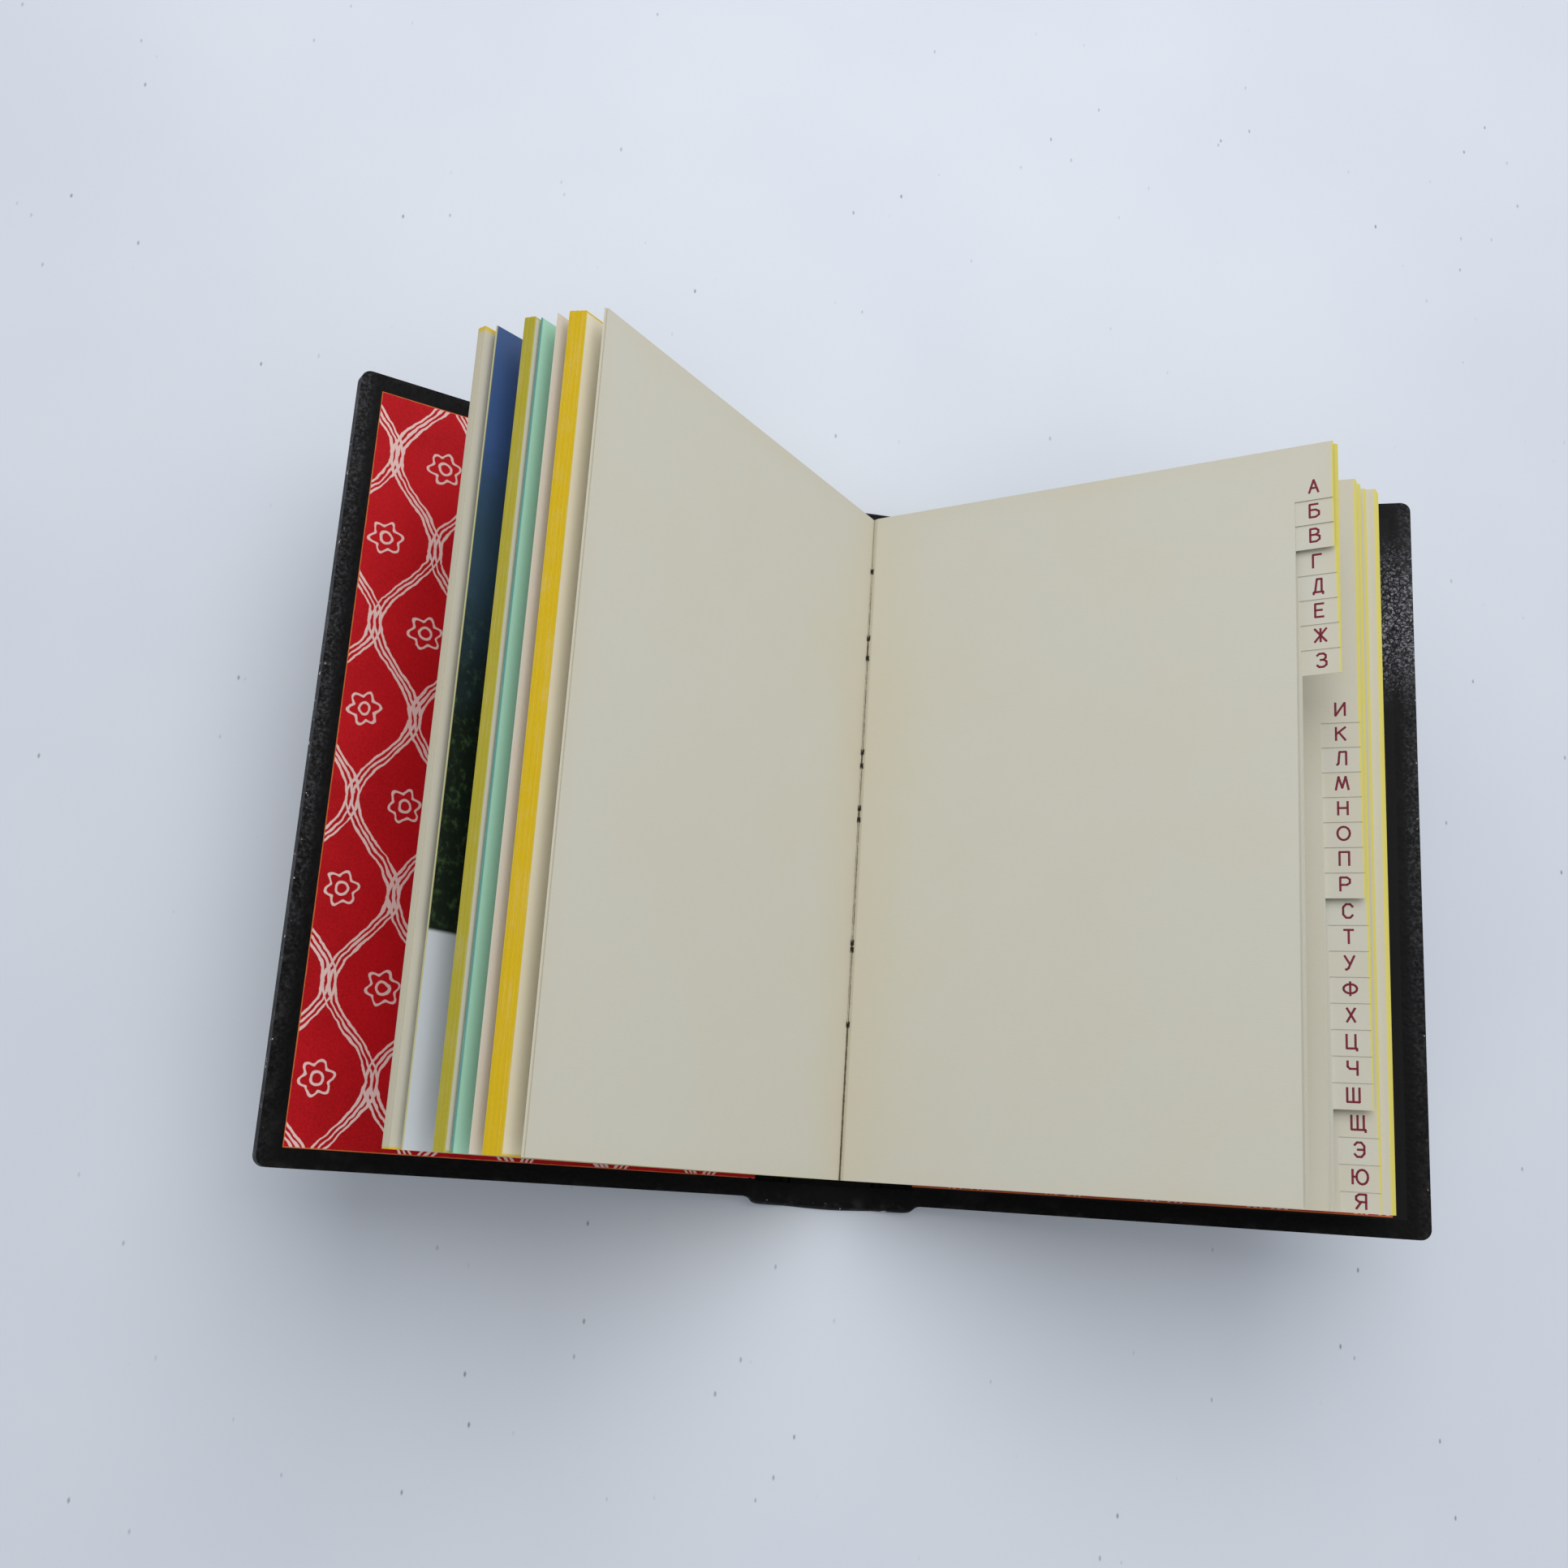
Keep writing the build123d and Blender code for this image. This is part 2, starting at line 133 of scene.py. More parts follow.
class Wiring:
    """Adds and joins the nodes of one material or group."""

    def __init__(self, tree: Tree) -> None:
        """Keeps the tree that the nodes go into."""
        self.tree = tree

    def feed(self, socket: Socket, value: object) -> None:
        """Joins a socket to an output, or sets the socket's own value.

        Args:
            socket: The socket.
            value: An output, or a plain value.
        """
        if isinstance(value, Socket):
            self.tree.links.new(value, socket)
        else:
            socket.default_value = value

    def fill(self, node: Node, inputs: dict) -> None:
        """Feeds several sockets of a node, by name or number."""
        for key, value in inputs.items():
            self.feed(node.inputs[key], value)

    def add(self, kind: str, inputs: dict | None = None, **settings: object) -> Node:
        """Adds a node.

        Args:
            kind: Blender's name for the node.
            inputs: Values or outputs for its sockets, by name or number.
            settings: The node's own options.

        Returns:
            The new node.
        """
        node = self.tree.nodes.new(kind)
        for key, value in settings.items():
            setattr(node, key, value)
        self.fill(node, inputs or {})
        return node

    def group(self, tree: Tree, inputs: dict | None = None) -> Node:
        """Places a shared effect in this tree."""
        return self.add("ShaderNodeGroup", inputs, node_tree=tree)

    def math(self, operation: str, *terms: object) -> Socket:
        """Works out one sum of values and outputs."""
        return self.add("ShaderNodeMath", dict(enumerate(terms)), operation=operation).outputs[0]

    def times(self, first: object, second: object) -> Socket:
        """Multiplies two values."""
        return self.math("MULTIPLY", first, second)

    def plus(self, first: object, second: object) -> Socket:
        """Adds two values."""
        return self.math("ADD", first, second)

    def minus(self, first: object, second: object) -> Socket:
        """Takes the second value from the first."""
        return self.math("SUBTRACT", first, second)

    def scaled(self, value: object, factor: object, start: object) -> Socket:
        """Multiplies a value by a factor and adds a start."""
        return self.math("MULTIPLY_ADD", value, factor, start)

    def absolute(self, value: object) -> Socket:
        """Drops the sign of a value."""
        return self.math("ABSOLUTE", value)

    def apart(self, first: object, second: object) -> Socket:
        """Gives the distance between two values."""
        return self.absolute(self.minus(first, second))

    def most(self, *values: object) -> Socket:
        """Gives the largest of some values.

        Args:
            values: The values and outputs.

        Returns:
            The largest.
        """
        largest = values[0]
        for value in values[1:]:
            largest = self.math("MAXIMUM", largest, value)
        return largest

    def vector(self, operation: str, first: object, second: object) -> Socket:
        """Works out one sum of two vectors."""
        return self.add("ShaderNodeVectorMath", {0: first, 1: second}, operation=operation).outputs[0]

    def mix(self, share: object, first: object, second: object) -> Socket:
        """Mixes two colours by a share."""
        inputs = {0: share, 6: first, 7: second}
        return self.add("ShaderNodeMix", inputs, data_type="RGBA").outputs[2]

    def ease(self, value: object, low: object, high: object) -> Socket:
        """Rises smoothly from 0 at low to 1 at high."""
        terms = {0: value, 1: low, 2: high, 3: 0.0, 4: 1.0}
        return self.add("ShaderNodeMapRange", terms, interpolation_type="SMOOTHSTEP").outputs[0]

    def place(self, scale: tuple = (1, 1, 1), turn: tuple = (0, 0, 0), move: tuple = (0, 0, 0)) -> Socket:
        """Gives the piece's own coordinates, in millimetres, moved, turned and stretched.

        Args:
            scale: Stretch of each axis after the turn.
            turn: Turn about each axis in radians.
            move: A point in millimetres that becomes the middle of the pattern.

        Returns:
            The coordinates.
        """
        own = self.add("ShaderNodeTexCoord").outputs["Object"]
        shifted = self.vector("ADD", own, [-step * MM for step in move])
        sized = self.vector("MULTIPLY", shifted, (1 / MM, 1 / MM, 1 / MM))
        turned = self.add("ShaderNodeMapping", {0: sized, 2: turn}).outputs[0]
        return self.vector("MULTIPLY", turned, scale)

    def split(self, vector: Socket) -> tuple[Socket, Socket, Socket]:
        """Takes a vector apart."""
        parts = self.add("ShaderNodeSeparateXYZ", {0: vector}).outputs
        return parts[0], parts[1], parts[2]

    def noise(self, vector: Socket, scale: object, detail: float, rough: float) -> Socket:
        """Gives even noise along coordinates."""
        terms = {"Vector": vector, "Scale": scale, "Detail": detail, "Roughness": rough}
        return self.add("ShaderNodeTexNoise", terms).outputs[0]

    def cloud(self, scale: object, detail: float, rough: float) -> Socket:
        """Gives even noise over the piece's own coordinates."""
        return self.noise(self.place(), scale, detail, rough)

    def cells(self, vector: Socket, scale: object, feature: str = "F1") -> Socket:
        """Gives the distance to the nearest point of a loose grid."""
        terms = {"Vector": vector, "Scale": scale}
        return self.add("ShaderNodeTexVoronoi", terms, feature=feature).outputs["Distance"]

    def mark(self, name: str) -> Socket:
        """Reads a number kept on the mesh."""
        return self.add("ShaderNodeAttribute", None, attribute_name=name).outputs["Fac"]

    def bump(self, height: Socket, strength: float, depth: float) -> Socket:
        """Turns a height into a surface direction; depth is in millimetres."""
        terms = {"Height": height, "Strength": strength, "Distance": depth * MM}
        return self.add("ShaderNodeBump", terms).outputs[0]


def shade(wiring: Wiring, inputs: dict) -> None:
    """Ends a material with one shader.

    Args:
        wiring: The material's nodes.
        inputs: Values and outputs for the shader's sockets.
    """
    shader = wiring.add("ShaderNodeBsdfPrincipled", inputs)
    wiring.add("ShaderNodeOutputMaterial", {0: shader.outputs[0]})


def shade_paper(
    wiring: Wiring,
    fibre: Node,
    colour: Socket,
    rough: Span,
    relief: Span,
    gloss: float = 0.5,
) -> None:
    """Ends a paper's material, with its roughness and relief from the fibres.

    Args:
        wiring: The material's nodes.
        fibre: The fibre effect placed in it.
        colour: The paper's colour.
        rough: Spread and least value of the roughness.
        relief: Strength of the fibres, and their depth in millimetres.
        gloss: Strength of the reflection.
    """
    inputs = {
        "Base Color": colour,
        "Roughness": wiring.scaled(fibre.outputs["Tone"], *rough),
        "Normal": wiring.bump(fibre.outputs["Height"], *relief),
        "Specular IOR Level": gloss,
    }
    shade(wiring, inputs)


class Effects:
    """Builds each shared effect once."""

    def __init__(self) -> None:
        """Builds the groups."""
        self.fibre = self.paper_fibre()
        self.age = self.paper_age()
        self.streaks = self.edge_streaks()
        self.fray = self.ragged_edge()
        self.weave = self.woven_threads()
        self.grain = self.leather_grain()
        self.wear = self.rim_wear()
        self.glint = self.polished_patch()
        self.lattice = self.ogee_lattice()

    @staticmethod
    def start(name: str, inputs: tuple[str, ...], outputs: tuple[str, ...]) -> tuple:
        """Starts a group with its sockets, each of them a number.

        Args:
            name: The group's name.
            inputs: Names of the sockets that it takes in.
            outputs: Names of the sockets that it puts out.

        Returns:
            The group, its wiring, its input node and its output node.
        """
        tree = bpy.data.node_groups.new(name, "ShaderNodeTree")
        for titles, way in ((inputs, "INPUT"), (outputs, "OUTPUT")):
            for title in titles:
                tree.interface.new_socket(name=title, in_out=way, socket_type="NodeSocketFloat")
        entry = tree.nodes.new("NodeGroupInput")
        leave = tree.nodes.new("NodeGroupOutput")
        return tree, Wiring(tree), entry, leave

    def paper_fibre(self) -> Tree:
        """Cloudy tone and fine fibres of uncoated paper.

        Returns:
            The group.
        """
        tree, wiring, _entry, leave = self.start("paper_fibre", (), ("Tone", "Height"))
        cloud = wiring.cloud(0.045, 4.0, 0.6)
        speck = wiring.cloud(1.6, 3.0, 0.6)
        fibre = wiring.noise(wiring.place((0.8, 3.4, 0.8)), 1.1, 3.0, 0.65)
        tone = wiring.plus(wiring.times(cloud, 0.75), wiring.times(speck, 0.25))
        height = wiring.plus(fibre, wiring.times(speck, 0.5))
        wiring.fill(leave, {"Tone": tone, "Height": height})
        return tree

    def paper_age(self) -> Tree:
        """Warmer tone of a leaf: painted warm shade towards its fold, where it curves into the gutter,
        and age at its rim.

        Returns:
            The group.
        """
        tree, wiring, entry, leave = self.start("paper_age", ("Fold", "Rim"), ("Age",))
        fold_share = 0.17
        rim_share = 0.95
        end_rim = 6.0
        _across, along, _up = wiring.split(wiring.place())
        reach = wiring.mark("reach")
        # Painted warm shade towards the fold, where the leaf curves into the gutter.
        gutter = wiring.times(wiring.ease(reach, fold_share, 0.0), entry.outputs["Fold"])
        ends = wiring.ease(wiring.absolute(along), PAGE_HALF - end_rim, PAGE_HALF)
        outside = wiring.most(wiring.ease(reach, rim_share, 1.0), ends)
        rim = wiring.times(outside, entry.outputs["Rim"])
        wiring.fill(leave, {"Age": wiring.most(gutter, rim)})
        return tree

    def edge_streaks(self) -> Tree:
        """Streaks of dye along the cut edges of a stack of sheets.

        Returns:
            The group.
        """
        tree, wiring, entry, leave = self.start("edge_streaks", ("Fore", "Head", "Depth"), ("Dye",))
        full = 0.1
        _across, along, _up = wiring.split(wiring.place())
        streak = wiring.noise(wiring.place((2.6, 0.06, 2.6)), 1.3, 3.0, 0.6)
        blot = wiring.cloud(0.22, 3.0, 0.6)
        fore = wiring.times(wiring.ease(wiring.mark("reach"), 0.9955, 0.9985), entry.outputs["Fore"])
        top_start = wiring.minus(PAGE_HALF, entry.outputs["Depth"])
        top = wiring.ease(along, top_start, PAGE_HALF - full)
        bottom = wiring.ease(along, PAGE_FOOT + DYE_DEPTH, PAGE_FOOT + full)
        head = wiring.times(wiring.most(top, bottom), entry.outputs["Head"])
        uneven = wiring.ease(wiring.plus(streak, wiring.times(blot, 0.6)), 0.42, 0.84)
        left = wiring.scaled(uneven, 0.25, 0.75)
        wiring.fill(leave, {"Dye": wiring.times(wiring.most(fore, head), left)})
        return tree

    def ragged_edge(self) -> Tree:
        """A small uneven shift that frays a straight edge.

        Returns:
            The group.
        """
        tree, wiring, entry, leave = self.start("ragged_edge", ("Scale",), ("Shift",))
        uneven = wiring.cloud(entry.outputs["Scale"], 3.0, 0.6)
        wiring.fill(leave, {"Shift": wiring.scaled(uneven, 0.3, -0.15)})
        return tree

    def woven_threads(self) -> Tree:
        """Twisted or woven threads, counted across and along the book.

        Returns:
            The group.
        """
        tree, wiring, entry, leave = self.start("woven_threads", ("Across", "Along"), ("Twist",))
        across = entry.outputs["Across"]
        terms = {0: across, 1: entry.outputs["Along"], 2: across}
        counts = wiring.add("ShaderNodeCombineXYZ", terms).outputs[0]
        place = wiring.vector("MULTIPLY", wiring.place(), counts)
        wave = wiring.add("ShaderNodeTexWave", {"Vector": place, "Scale": 1.0, "Distortion": 1.5})
        wiring.fill(leave, {"Twist": wave.outputs[1]})
        return tree

    def leather_grain(self) -> Tree:
        """Pebbled leatherette with rubbed spots.

        Returns:
            The group.
        """
        tree, wiring, entry, leave = self.start("leather_grain", ("Size",), ("Height", "Rub", "Sheen"))
        place = wiring.place()
        warp = {"Vector": place, "Scale": 0.5, "Detail": 2.0}
        drift = wiring.add("ShaderNodeTexNoise", warp).outputs[1]
        warped = wiring.vector("ADD", place, wiring.vector("MULTIPLY", drift, (0.9, 0.9, 0.9)))
        pebble = wiring.cells(warped, entry.outputs["Size"], "SMOOTH_F1")
        crease = wiring.noise(place, 0.14, 5.0, 0.62)
        fine = wiring.noise(place, 4.2, 2.0, 0.5)
        height = wiring.scaled(pebble, -1.0, wiring.times(fine, 0.2))
        rub = wiring.ease(wiring.plus(crease, wiring.times(fine, 0.12)), 0.58, 0.8)
        wiring.fill(leave, {"Height": height, "Rub": rub, "Sheen": crease})
        return tree

    def rim_wear(self) -> Tree:
        """Rubbing, scuffs and chips along the rim of a cover.

        Returns:
            The group.
        """
        tree, wiring, entry, leave = self.start("rim_wear", ("Across", "Along"), ("Rub", "Scuff", "Chip"))
        fore_rim = (101.2, 104.6)
        end_rim = (71.2, 74.2)
        scuffed_rim = (100.8, 103.2)
        scuff_fade = (-66.0, 0.0)
        reach = wiring.absolute(entry.outputs["Across"])
        along = entry.outputs["Along"]
        ends = wiring.ease(wiring.absolute(along), *end_rim)
        rim = wiring.most(wiring.ease(reach, *fore_rim), ends)
        rub = wiring.times(rim, wiring.ease(wiring.cloud(0.35, 4.0, 0.65), 0.44, 0.72))
        speckle = wiring.ease(wiring.cloud(1.5, 4.0, 0.7), 0.42, 0.78)
        border = wiring.times(wiring.ease(reach, *scuffed_rim), speckle)
        strength = wiring.scaled(wiring.ease(along, *scuff_fade), 0.6, 0.15)
        chips = wiring.ease(wiring.cloud(0.8, 2.0, 0.5), 0.69, 0.72)
        chip = wiring.times(wiring.ease(rim, 0.75, 0.98), chips)
        wiring.fill(leave, {"Rub": rub, "Scuff": wiring.times(border, strength), "Chip": chip})
        return tree

    def polished_patch(self) -> Tree:
        """A patch of painted sheen along the border, lighter between the cracks of a black coating,
        standing in for a reflection of the lamp.

        Returns:
            The group.
        """
        inputs = ("Along", "Middle", "Border")
        tree, wiring, entry, leave = self.start("polished_patch", inputs, ("Polish",))
        away = wiring.apart(entry.outputs["Along"], entry.outputs["Middle"])
        spread = wiring.times(wiring.ease(away, 20.0, 3.0), entry.outputs["Border"])
        whole = wiring.ease(wiring.cells(wiring.place(), 0.75, "DISTANCE_TO_EDGE"), 0.02, 0.1)
        flecks = wiring.ease(wiring.cloud(1.9, 5.0, 0.75), 0.44, 0.66)
        wiring.fill(leave, {"Polish": wiring.times(spread, wiring.times(whole, flecks))})
        return tree

    def ogee_lattice(self) -> Tree:
        """Waving triple lines that cross in an ogee net, with ringed dots in its meshes.

        Returns:
            The group.
        """
        tree, wiring, entry, leave = self.start("ogee_lattice", ("Across", "Along"), ("Line",))
        pitch = 19.0
        rise = 33.0
        line_gap = 1.05
        dot_radius = 2.7
        lobes = 6.0
        lobe_depth = 0.45
        eye_radius = 1.1
        across = entry.outputs["Across"]
        along = entry.outputs["Along"]
        swing = wiring.math("SINE", wiring.times(along, math.tau / rise))
        wave = wiring.times(swing, pitch / 4)
        swell = wiring.scaled(wiring.cloud(0.2, 2.0, 0.5), 0.5, -0.25)
        lines = []
        for turn in (1.0, -1.0):
            shifted = wiring.scaled(wave, turn, wiring.plus(across, pitch / 4 * turn))
            aside = wiring.absolute(wiring.math("WRAP", shifted, pitch / 2, -pitch / 2))
            for gap in (0.0, line_gap):
                near = wiring.minus(wiring.apart(aside, gap), swell)
                lines.append(wiring.ease(near, 0.32, 0.2))
        for step in (0.0, 0.5):
            column = wiring.math("WRAP", wiring.plus(across, pitch * step), pitch / 2, -pitch / 2)
            row = wiring.math("WRAP", wiring.plus(along, rise * (step - 0.25)), rise / 2, -rise / 2)
            far = wiring.math("SQRT", wiring.scaled(column, column, wiring.times(row, row)))
            petals = wiring.math("SINE", wiring.times(wiring.math("ARCTAN2", row, column), lobes))
            edge = wiring.scaled(petals, lobe_depth, dot_radius)
            lines.append(wiring.ease(wiring.apart(far, edge), 0.31, 0.19))
            lines.append(wiring.ease(wiring.apart(far, eye_radius), 0.29, 0.17))
        wiring.fill(leave, {"Line": wiring.most(*lines)})
        return tree


@dataclass(frozen=True)
class Finish:
    """A look that is built once as a material."""

    name: str

    def material(self, effects: Effects) -> Material:
        """Builds the material.

        Args:
            effects: The shared effects.

        Returns:
            The material.
        """
        material = bpy.data.materials.new(self.name)
        material.use_nodes = True
        material.node_tree.nodes.clear()
        self.wire(Wiring(material.node_tree), effects)
        return material

    def wire(self, wiring: Wiring, effects: Effects) -> None:
        """Adds the nodes of the look; each kind of finish has its own."""
        raise NotImplementedError


@dataclass(frozen=True)
class PaperFinish(Finish):
    """Uncoated paper, warmer with age at its rim and with painted warm shade at its fold; its cut edges
    are dyed, some with painted shade in their edge colour.
    """

    colour: Colour = paint(205, 204, 192)
    warm: Colour = paint(205, 193, 164)
    dye: Dye = Dye.PLAIN
    edge_colour: Colour = paint(222, 190, 14)
    fold_shade: float = 0.24
    rim_age: float = 0.14

    def wire(self, wiring: Wiring, effects: Effects) -> None:
        """Adds the nodes of the paper.

        Args:
            wiring: The material's nodes.
            effects: The shared effects.
        """
        fibre = wiring.group(effects.fibre)
        age = wiring.group(effects.age, {"Fold": self.fold_shade, "Rim": self.rim_age})
        fore, head, depth = self.dye.value
        streaks = wiring.group(effects.streaks, {"Fore": fore, "Head": head, "Depth": depth})
        cloud = wiring.ease(fibre.outputs["Tone"], 0.3, 0.75)
        toned = wiring.scaled(cloud, 0.2, age.outputs["Age"])
        tone = wiring.plus(toned, wiring.times(wiring.mark("tone"), 0.35))
        paper = wiring.mix(tone, self.colour, self.warm)
        dyed = wiring.mix(streaks.outputs["Dye"], paper, self.edge_colour)
        shade_paper(wiring, fibre, dyed, (0.2, 0.62), (0.35, 0.05))


@dataclass(frozen=True)
class PlateFinish(Finish):
    """A coated picture page that runs from sky to dark green, with a white foot margin."""

    name: str = "printed_plate"
    sky: Colour = paint(58, 86, 134)
    water: Colour = paint(48, 72, 88)
    woods: Colour = paint(16, 28, 18)
    bush: Colour = paint(58, 80, 46)
    margin: Colour = paint(205, 211, 216)
    cut_edge: Colour = paint(200, 196, 142)
    drift: float = 26.0
    shore: Span = (12.0, 44.0)
    horizon: Span = (44.0, 66.0)
    margin_line: Span = (-35.4, -34.6)

    def wire(self, wiring: Wiring, effects: Effects) -> None:
        """Adds the nodes of the coated page.

        Args:
            wiring: The material's nodes.
            effects: The shared effects.
        """
        fibre = wiring.group(effects.fibre)
        _across, along, _up = wiring.split(wiring.place())
        drift = wiring.noise(wiring.place((1, 1.4, 1)), 0.09, 4.0, 0.6)
        height = wiring.scaled(drift, self.drift, along)
        foliage = wiring.ease(wiring.cloud(0.6, 5.0, 0.7), 0.5, 0.72)
        trees = wiring.mix(foliage, self.woods, self.bush)
        low = wiring.mix(wiring.ease(height, *self.shore), trees, self.water)
        picture = wiring.mix(wiring.ease(height, *self.horizon), low, self.sky)
        colour = wiring.mix(wiring.ease(along, *self.margin_line), self.margin, picture)
        edge = wiring.ease(wiring.mark("reach"), 0.9975, 0.9995)
        edged = wiring.mix(edge, colour, self.cut_edge)
        shade_paper(wiring, fibre, edged, (0.18, 0.28), (0.12, 0.03))


def flat_cover(wiring: Wiring, lean: float, hinge: float) -> tuple[Socket, Socket, Socket]:
    """Lays a leaning cover flat, for patterns that follow its own plane.

    Args:
        wiring: The material's nodes.
        lean: The cover's lean in degrees.
        hinge: Place of its hinge across the book, in millimetres.

    Returns:
        The place across, along and up.
    """
    turn = (0.0, math.radians(lean), 0.0)
    return wiring.split(wiring.place(turn=turn, move=(hinge, 0.0, HINGE_HEIGHT)))


@dataclass(frozen=True)
class LeatherFinish(Finish):
    """Black leatherette of the case, rubbed at its rim, and where a patch is given, with a cracked patch
    of painted sheen.
    """

    lean: float = 0.0
    hinge: float = 0.0
    shiny_patch: float | None = None
    black: Colour = paint(5, 5, 6)
    rubbed: Colour = paint(44, 41, 40)
    scuffed: Colour = paint(84, 86, 90)
    shine: Colour = PAINTED_SHEEN
    nick: Colour = paint(196, 190, 182)
    gloss: float = 0.09
    pebble: float = 1.15
    open_rim: Span = (99.0, 100.0)

    def wire(self, wiring: Wiring, effects: Effects) -> None:
        """Adds the nodes of the leatherette.

        Args:
            wiring: The material's nodes.
            effects: The shared effects.
        """
        grain = wiring.group(effects.grain, {"Size": self.pebble})
        across, along, _up = flat_cover(wiring, self.lean, self.hinge)
        wear = wiring.group(effects.wear, {"Across": across, "Along": along})
        rub = wiring.most(wear.outputs["Rub"], wiring.times(grain.outputs["Rub"], 0.3))
        rubbed = wiring.mix(rub, self.black, self.rubbed)
        colour = wiring.mix(wear.outputs["Scuff"], rubbed, self.scuffed)
        # Painted sheen: a lighter cracked patch that stands in for a reflection of the lamp.
        if self.shiny_patch is not None:
            border = wiring.ease(wiring.absolute(across), *self.open_rim)
            patch = {"Along": along, "Middle": self.shiny_patch, "Border": border}
            shiny = wiring.group(effects.glint, patch)
            colour = wiring.mix(shiny.outputs["Polish"], colour, self.shine)
        inputs = {
            "Base Color": wiring.mix(wear.outputs["Chip"], colour, self.nick),
            "Roughness": wiring.scaled(grain.outputs["Sheen"], 0.5, 0.2),
            "Normal": wiring.bump(grain.outputs["Height"], 0.5, 0.12),
            "Specular IOR Level": self.gloss,
        }
        shade(wiring, inputs)


@dataclass(frozen=True)
class EndpaperFinish(Finish):
    """Red pasted-down paper with a pale net of triple lines, a bare orange edge and a dark rim."""

    lean: float
    hinge: float
    rim: float = 0.0
    foot_rim: float = 0.0
    shiny_patch: float | None = None
    red: Colour = paint(194, 10, 24)
    deep: Colour = paint(156, 0, 8)
    line: Colour = paint(236, 208, 202)
    bare: Colour = paint(196, 104, 54)
    dark: Colour = paint(10, 10, 11)
    shine: Colour = PAINTED_SHEEN
    gloss: float = 0.15
    half_height: float = 69.6
    far: float = 100.05
    bare_band: Span = (-0.22, -0.12)
    rim_band: Span = (0.02, 0.1)

    def wire(self, wiring: Wiring, effects: Effects) -> None:
        """Adds the nodes of the printed paper.

        Args:
            wiring: The material's nodes.
            effects: The shared effects.
        """
        fibre = wiring.group(effects.fibre)
        tone = fibre.outputs["Tone"]
        across, along, _up = flat_cover(wiring, self.lean, self.hinge)
        wobble = wiring.times(wiring.cloud(0.3, 3.0, 0.5), 1.6)
        net = wiring.group(effects.lattice, {"Across": wiring.plus(across, wobble), "Along": along})
        mottle = wiring.scaled(wiring.cloud(2.6, 3.0, 0.7), 0.5, wiring.times(tone, 0.6))
        ground = wiring.mix(wiring.ease(mottle, 0.4, 0.75), self.red, self.deep)
        faded = wiring.times(net.outputs["Line"], wiring.scaled(tone, 0.3, 0.7))
        printed = wiring.mix(faded, ground, self.line)
        ragged = wiring.group(effects.fray, {"Scale": 0.5}).outputs["Shift"]
        outer = wiring.most(along, wiring.scaled(along, -1.0, self.foot_rim))
        bare = []
        rims = []
        for place, limit in ((wiring.absolute(across), self.far - self.rim), (outer, self.half_height)):
            past = wiring.minus(place, limit)
            bare.append(wiring.ease(wiring.plus(past, ragged), *self.bare_band))
            rims.append(wiring.ease(past, *self.rim_band))
        edged = wiring.mix(wiring.most(*bare), printed, self.bare)
        dark = self.dark
        # Painted sheen: the dark rim gets the same lighter cracked patch as the leatherette, standing in
        # for a reflection of the lamp.
        if self.shiny_patch is not None:
            patch = {"Along": along, "Middle": self.shiny_patch, "Border": 1.0}
            shiny = wiring.group(effects.glint, patch)
            dark = wiring.mix(shiny.outputs["Polish"], self.dark, self.shine)
        colour = wiring.mix(wiring.most(*rims), edged, dark)
        shade_paper(wiring, fibre, colour, (0.2, 0.5), (0.25, 0.04), self.gloss)


@dataclass(frozen=True)
class WovenFinish(Finish):
    """A woven or fibrous finish, for the thread, the spine cloth and the card."""

    colour: Colour
    shadow: Colour
    counts: Span = (3.0, 3.0)

    def wire(self, wiring: Wiring, effects: Effects) -> None:
        """Adds the nodes of the weave.

        Args:
            wiring: The material's nodes.
            effects: The shared effects.
        """
        fibre = wiring.group(effects.fibre)
        across, along = self.counts
        twist = wiring.group(effects.weave, {"Across": across, "Along": along}).outputs["Twist"]
        tone = wiring.scaled(twist, 0.6, wiring.times(fibre.outputs["Tone"], 0.4))
        inputs = {
            "Base Color": wiring.mix(tone, self.shadow, self.colour),
            "Roughness": wiring.scaled(tone, -0.15, 0.85),
            "Normal": wiring.bump(twist, 0.4, 0.06),
        }
        shade(wiring, inputs)


@dataclass(frozen=True)
class InkFinish(Finish):
    """Maroon printing ink with uneven cover."""

    name: str = "index_ink"
    dark: Colour = paint(118, 4, 40)
    pale: Colour = paint(142, 24, 62)

    def wire(self, wiring: Wiring, effects: Effects) -> None:
        """Adds the nodes of the ink.

        Args:
            wiring: The material's nodes.
            effects: The shared effects.
        """
        fibre = wiring.group(effects.fibre)
        spread = wiring.ease(wiring.cloud(2.4, 3.0, 0.6), 0.45, 0.8)
        colour = wiring.mix(spread, self.dark, self.pale)
        rough = wiring.scaled(fibre.outputs["Tone"], 0.2, 0.55)
        shade(wiring, {"Base Color": colour, "Roughness": rough})


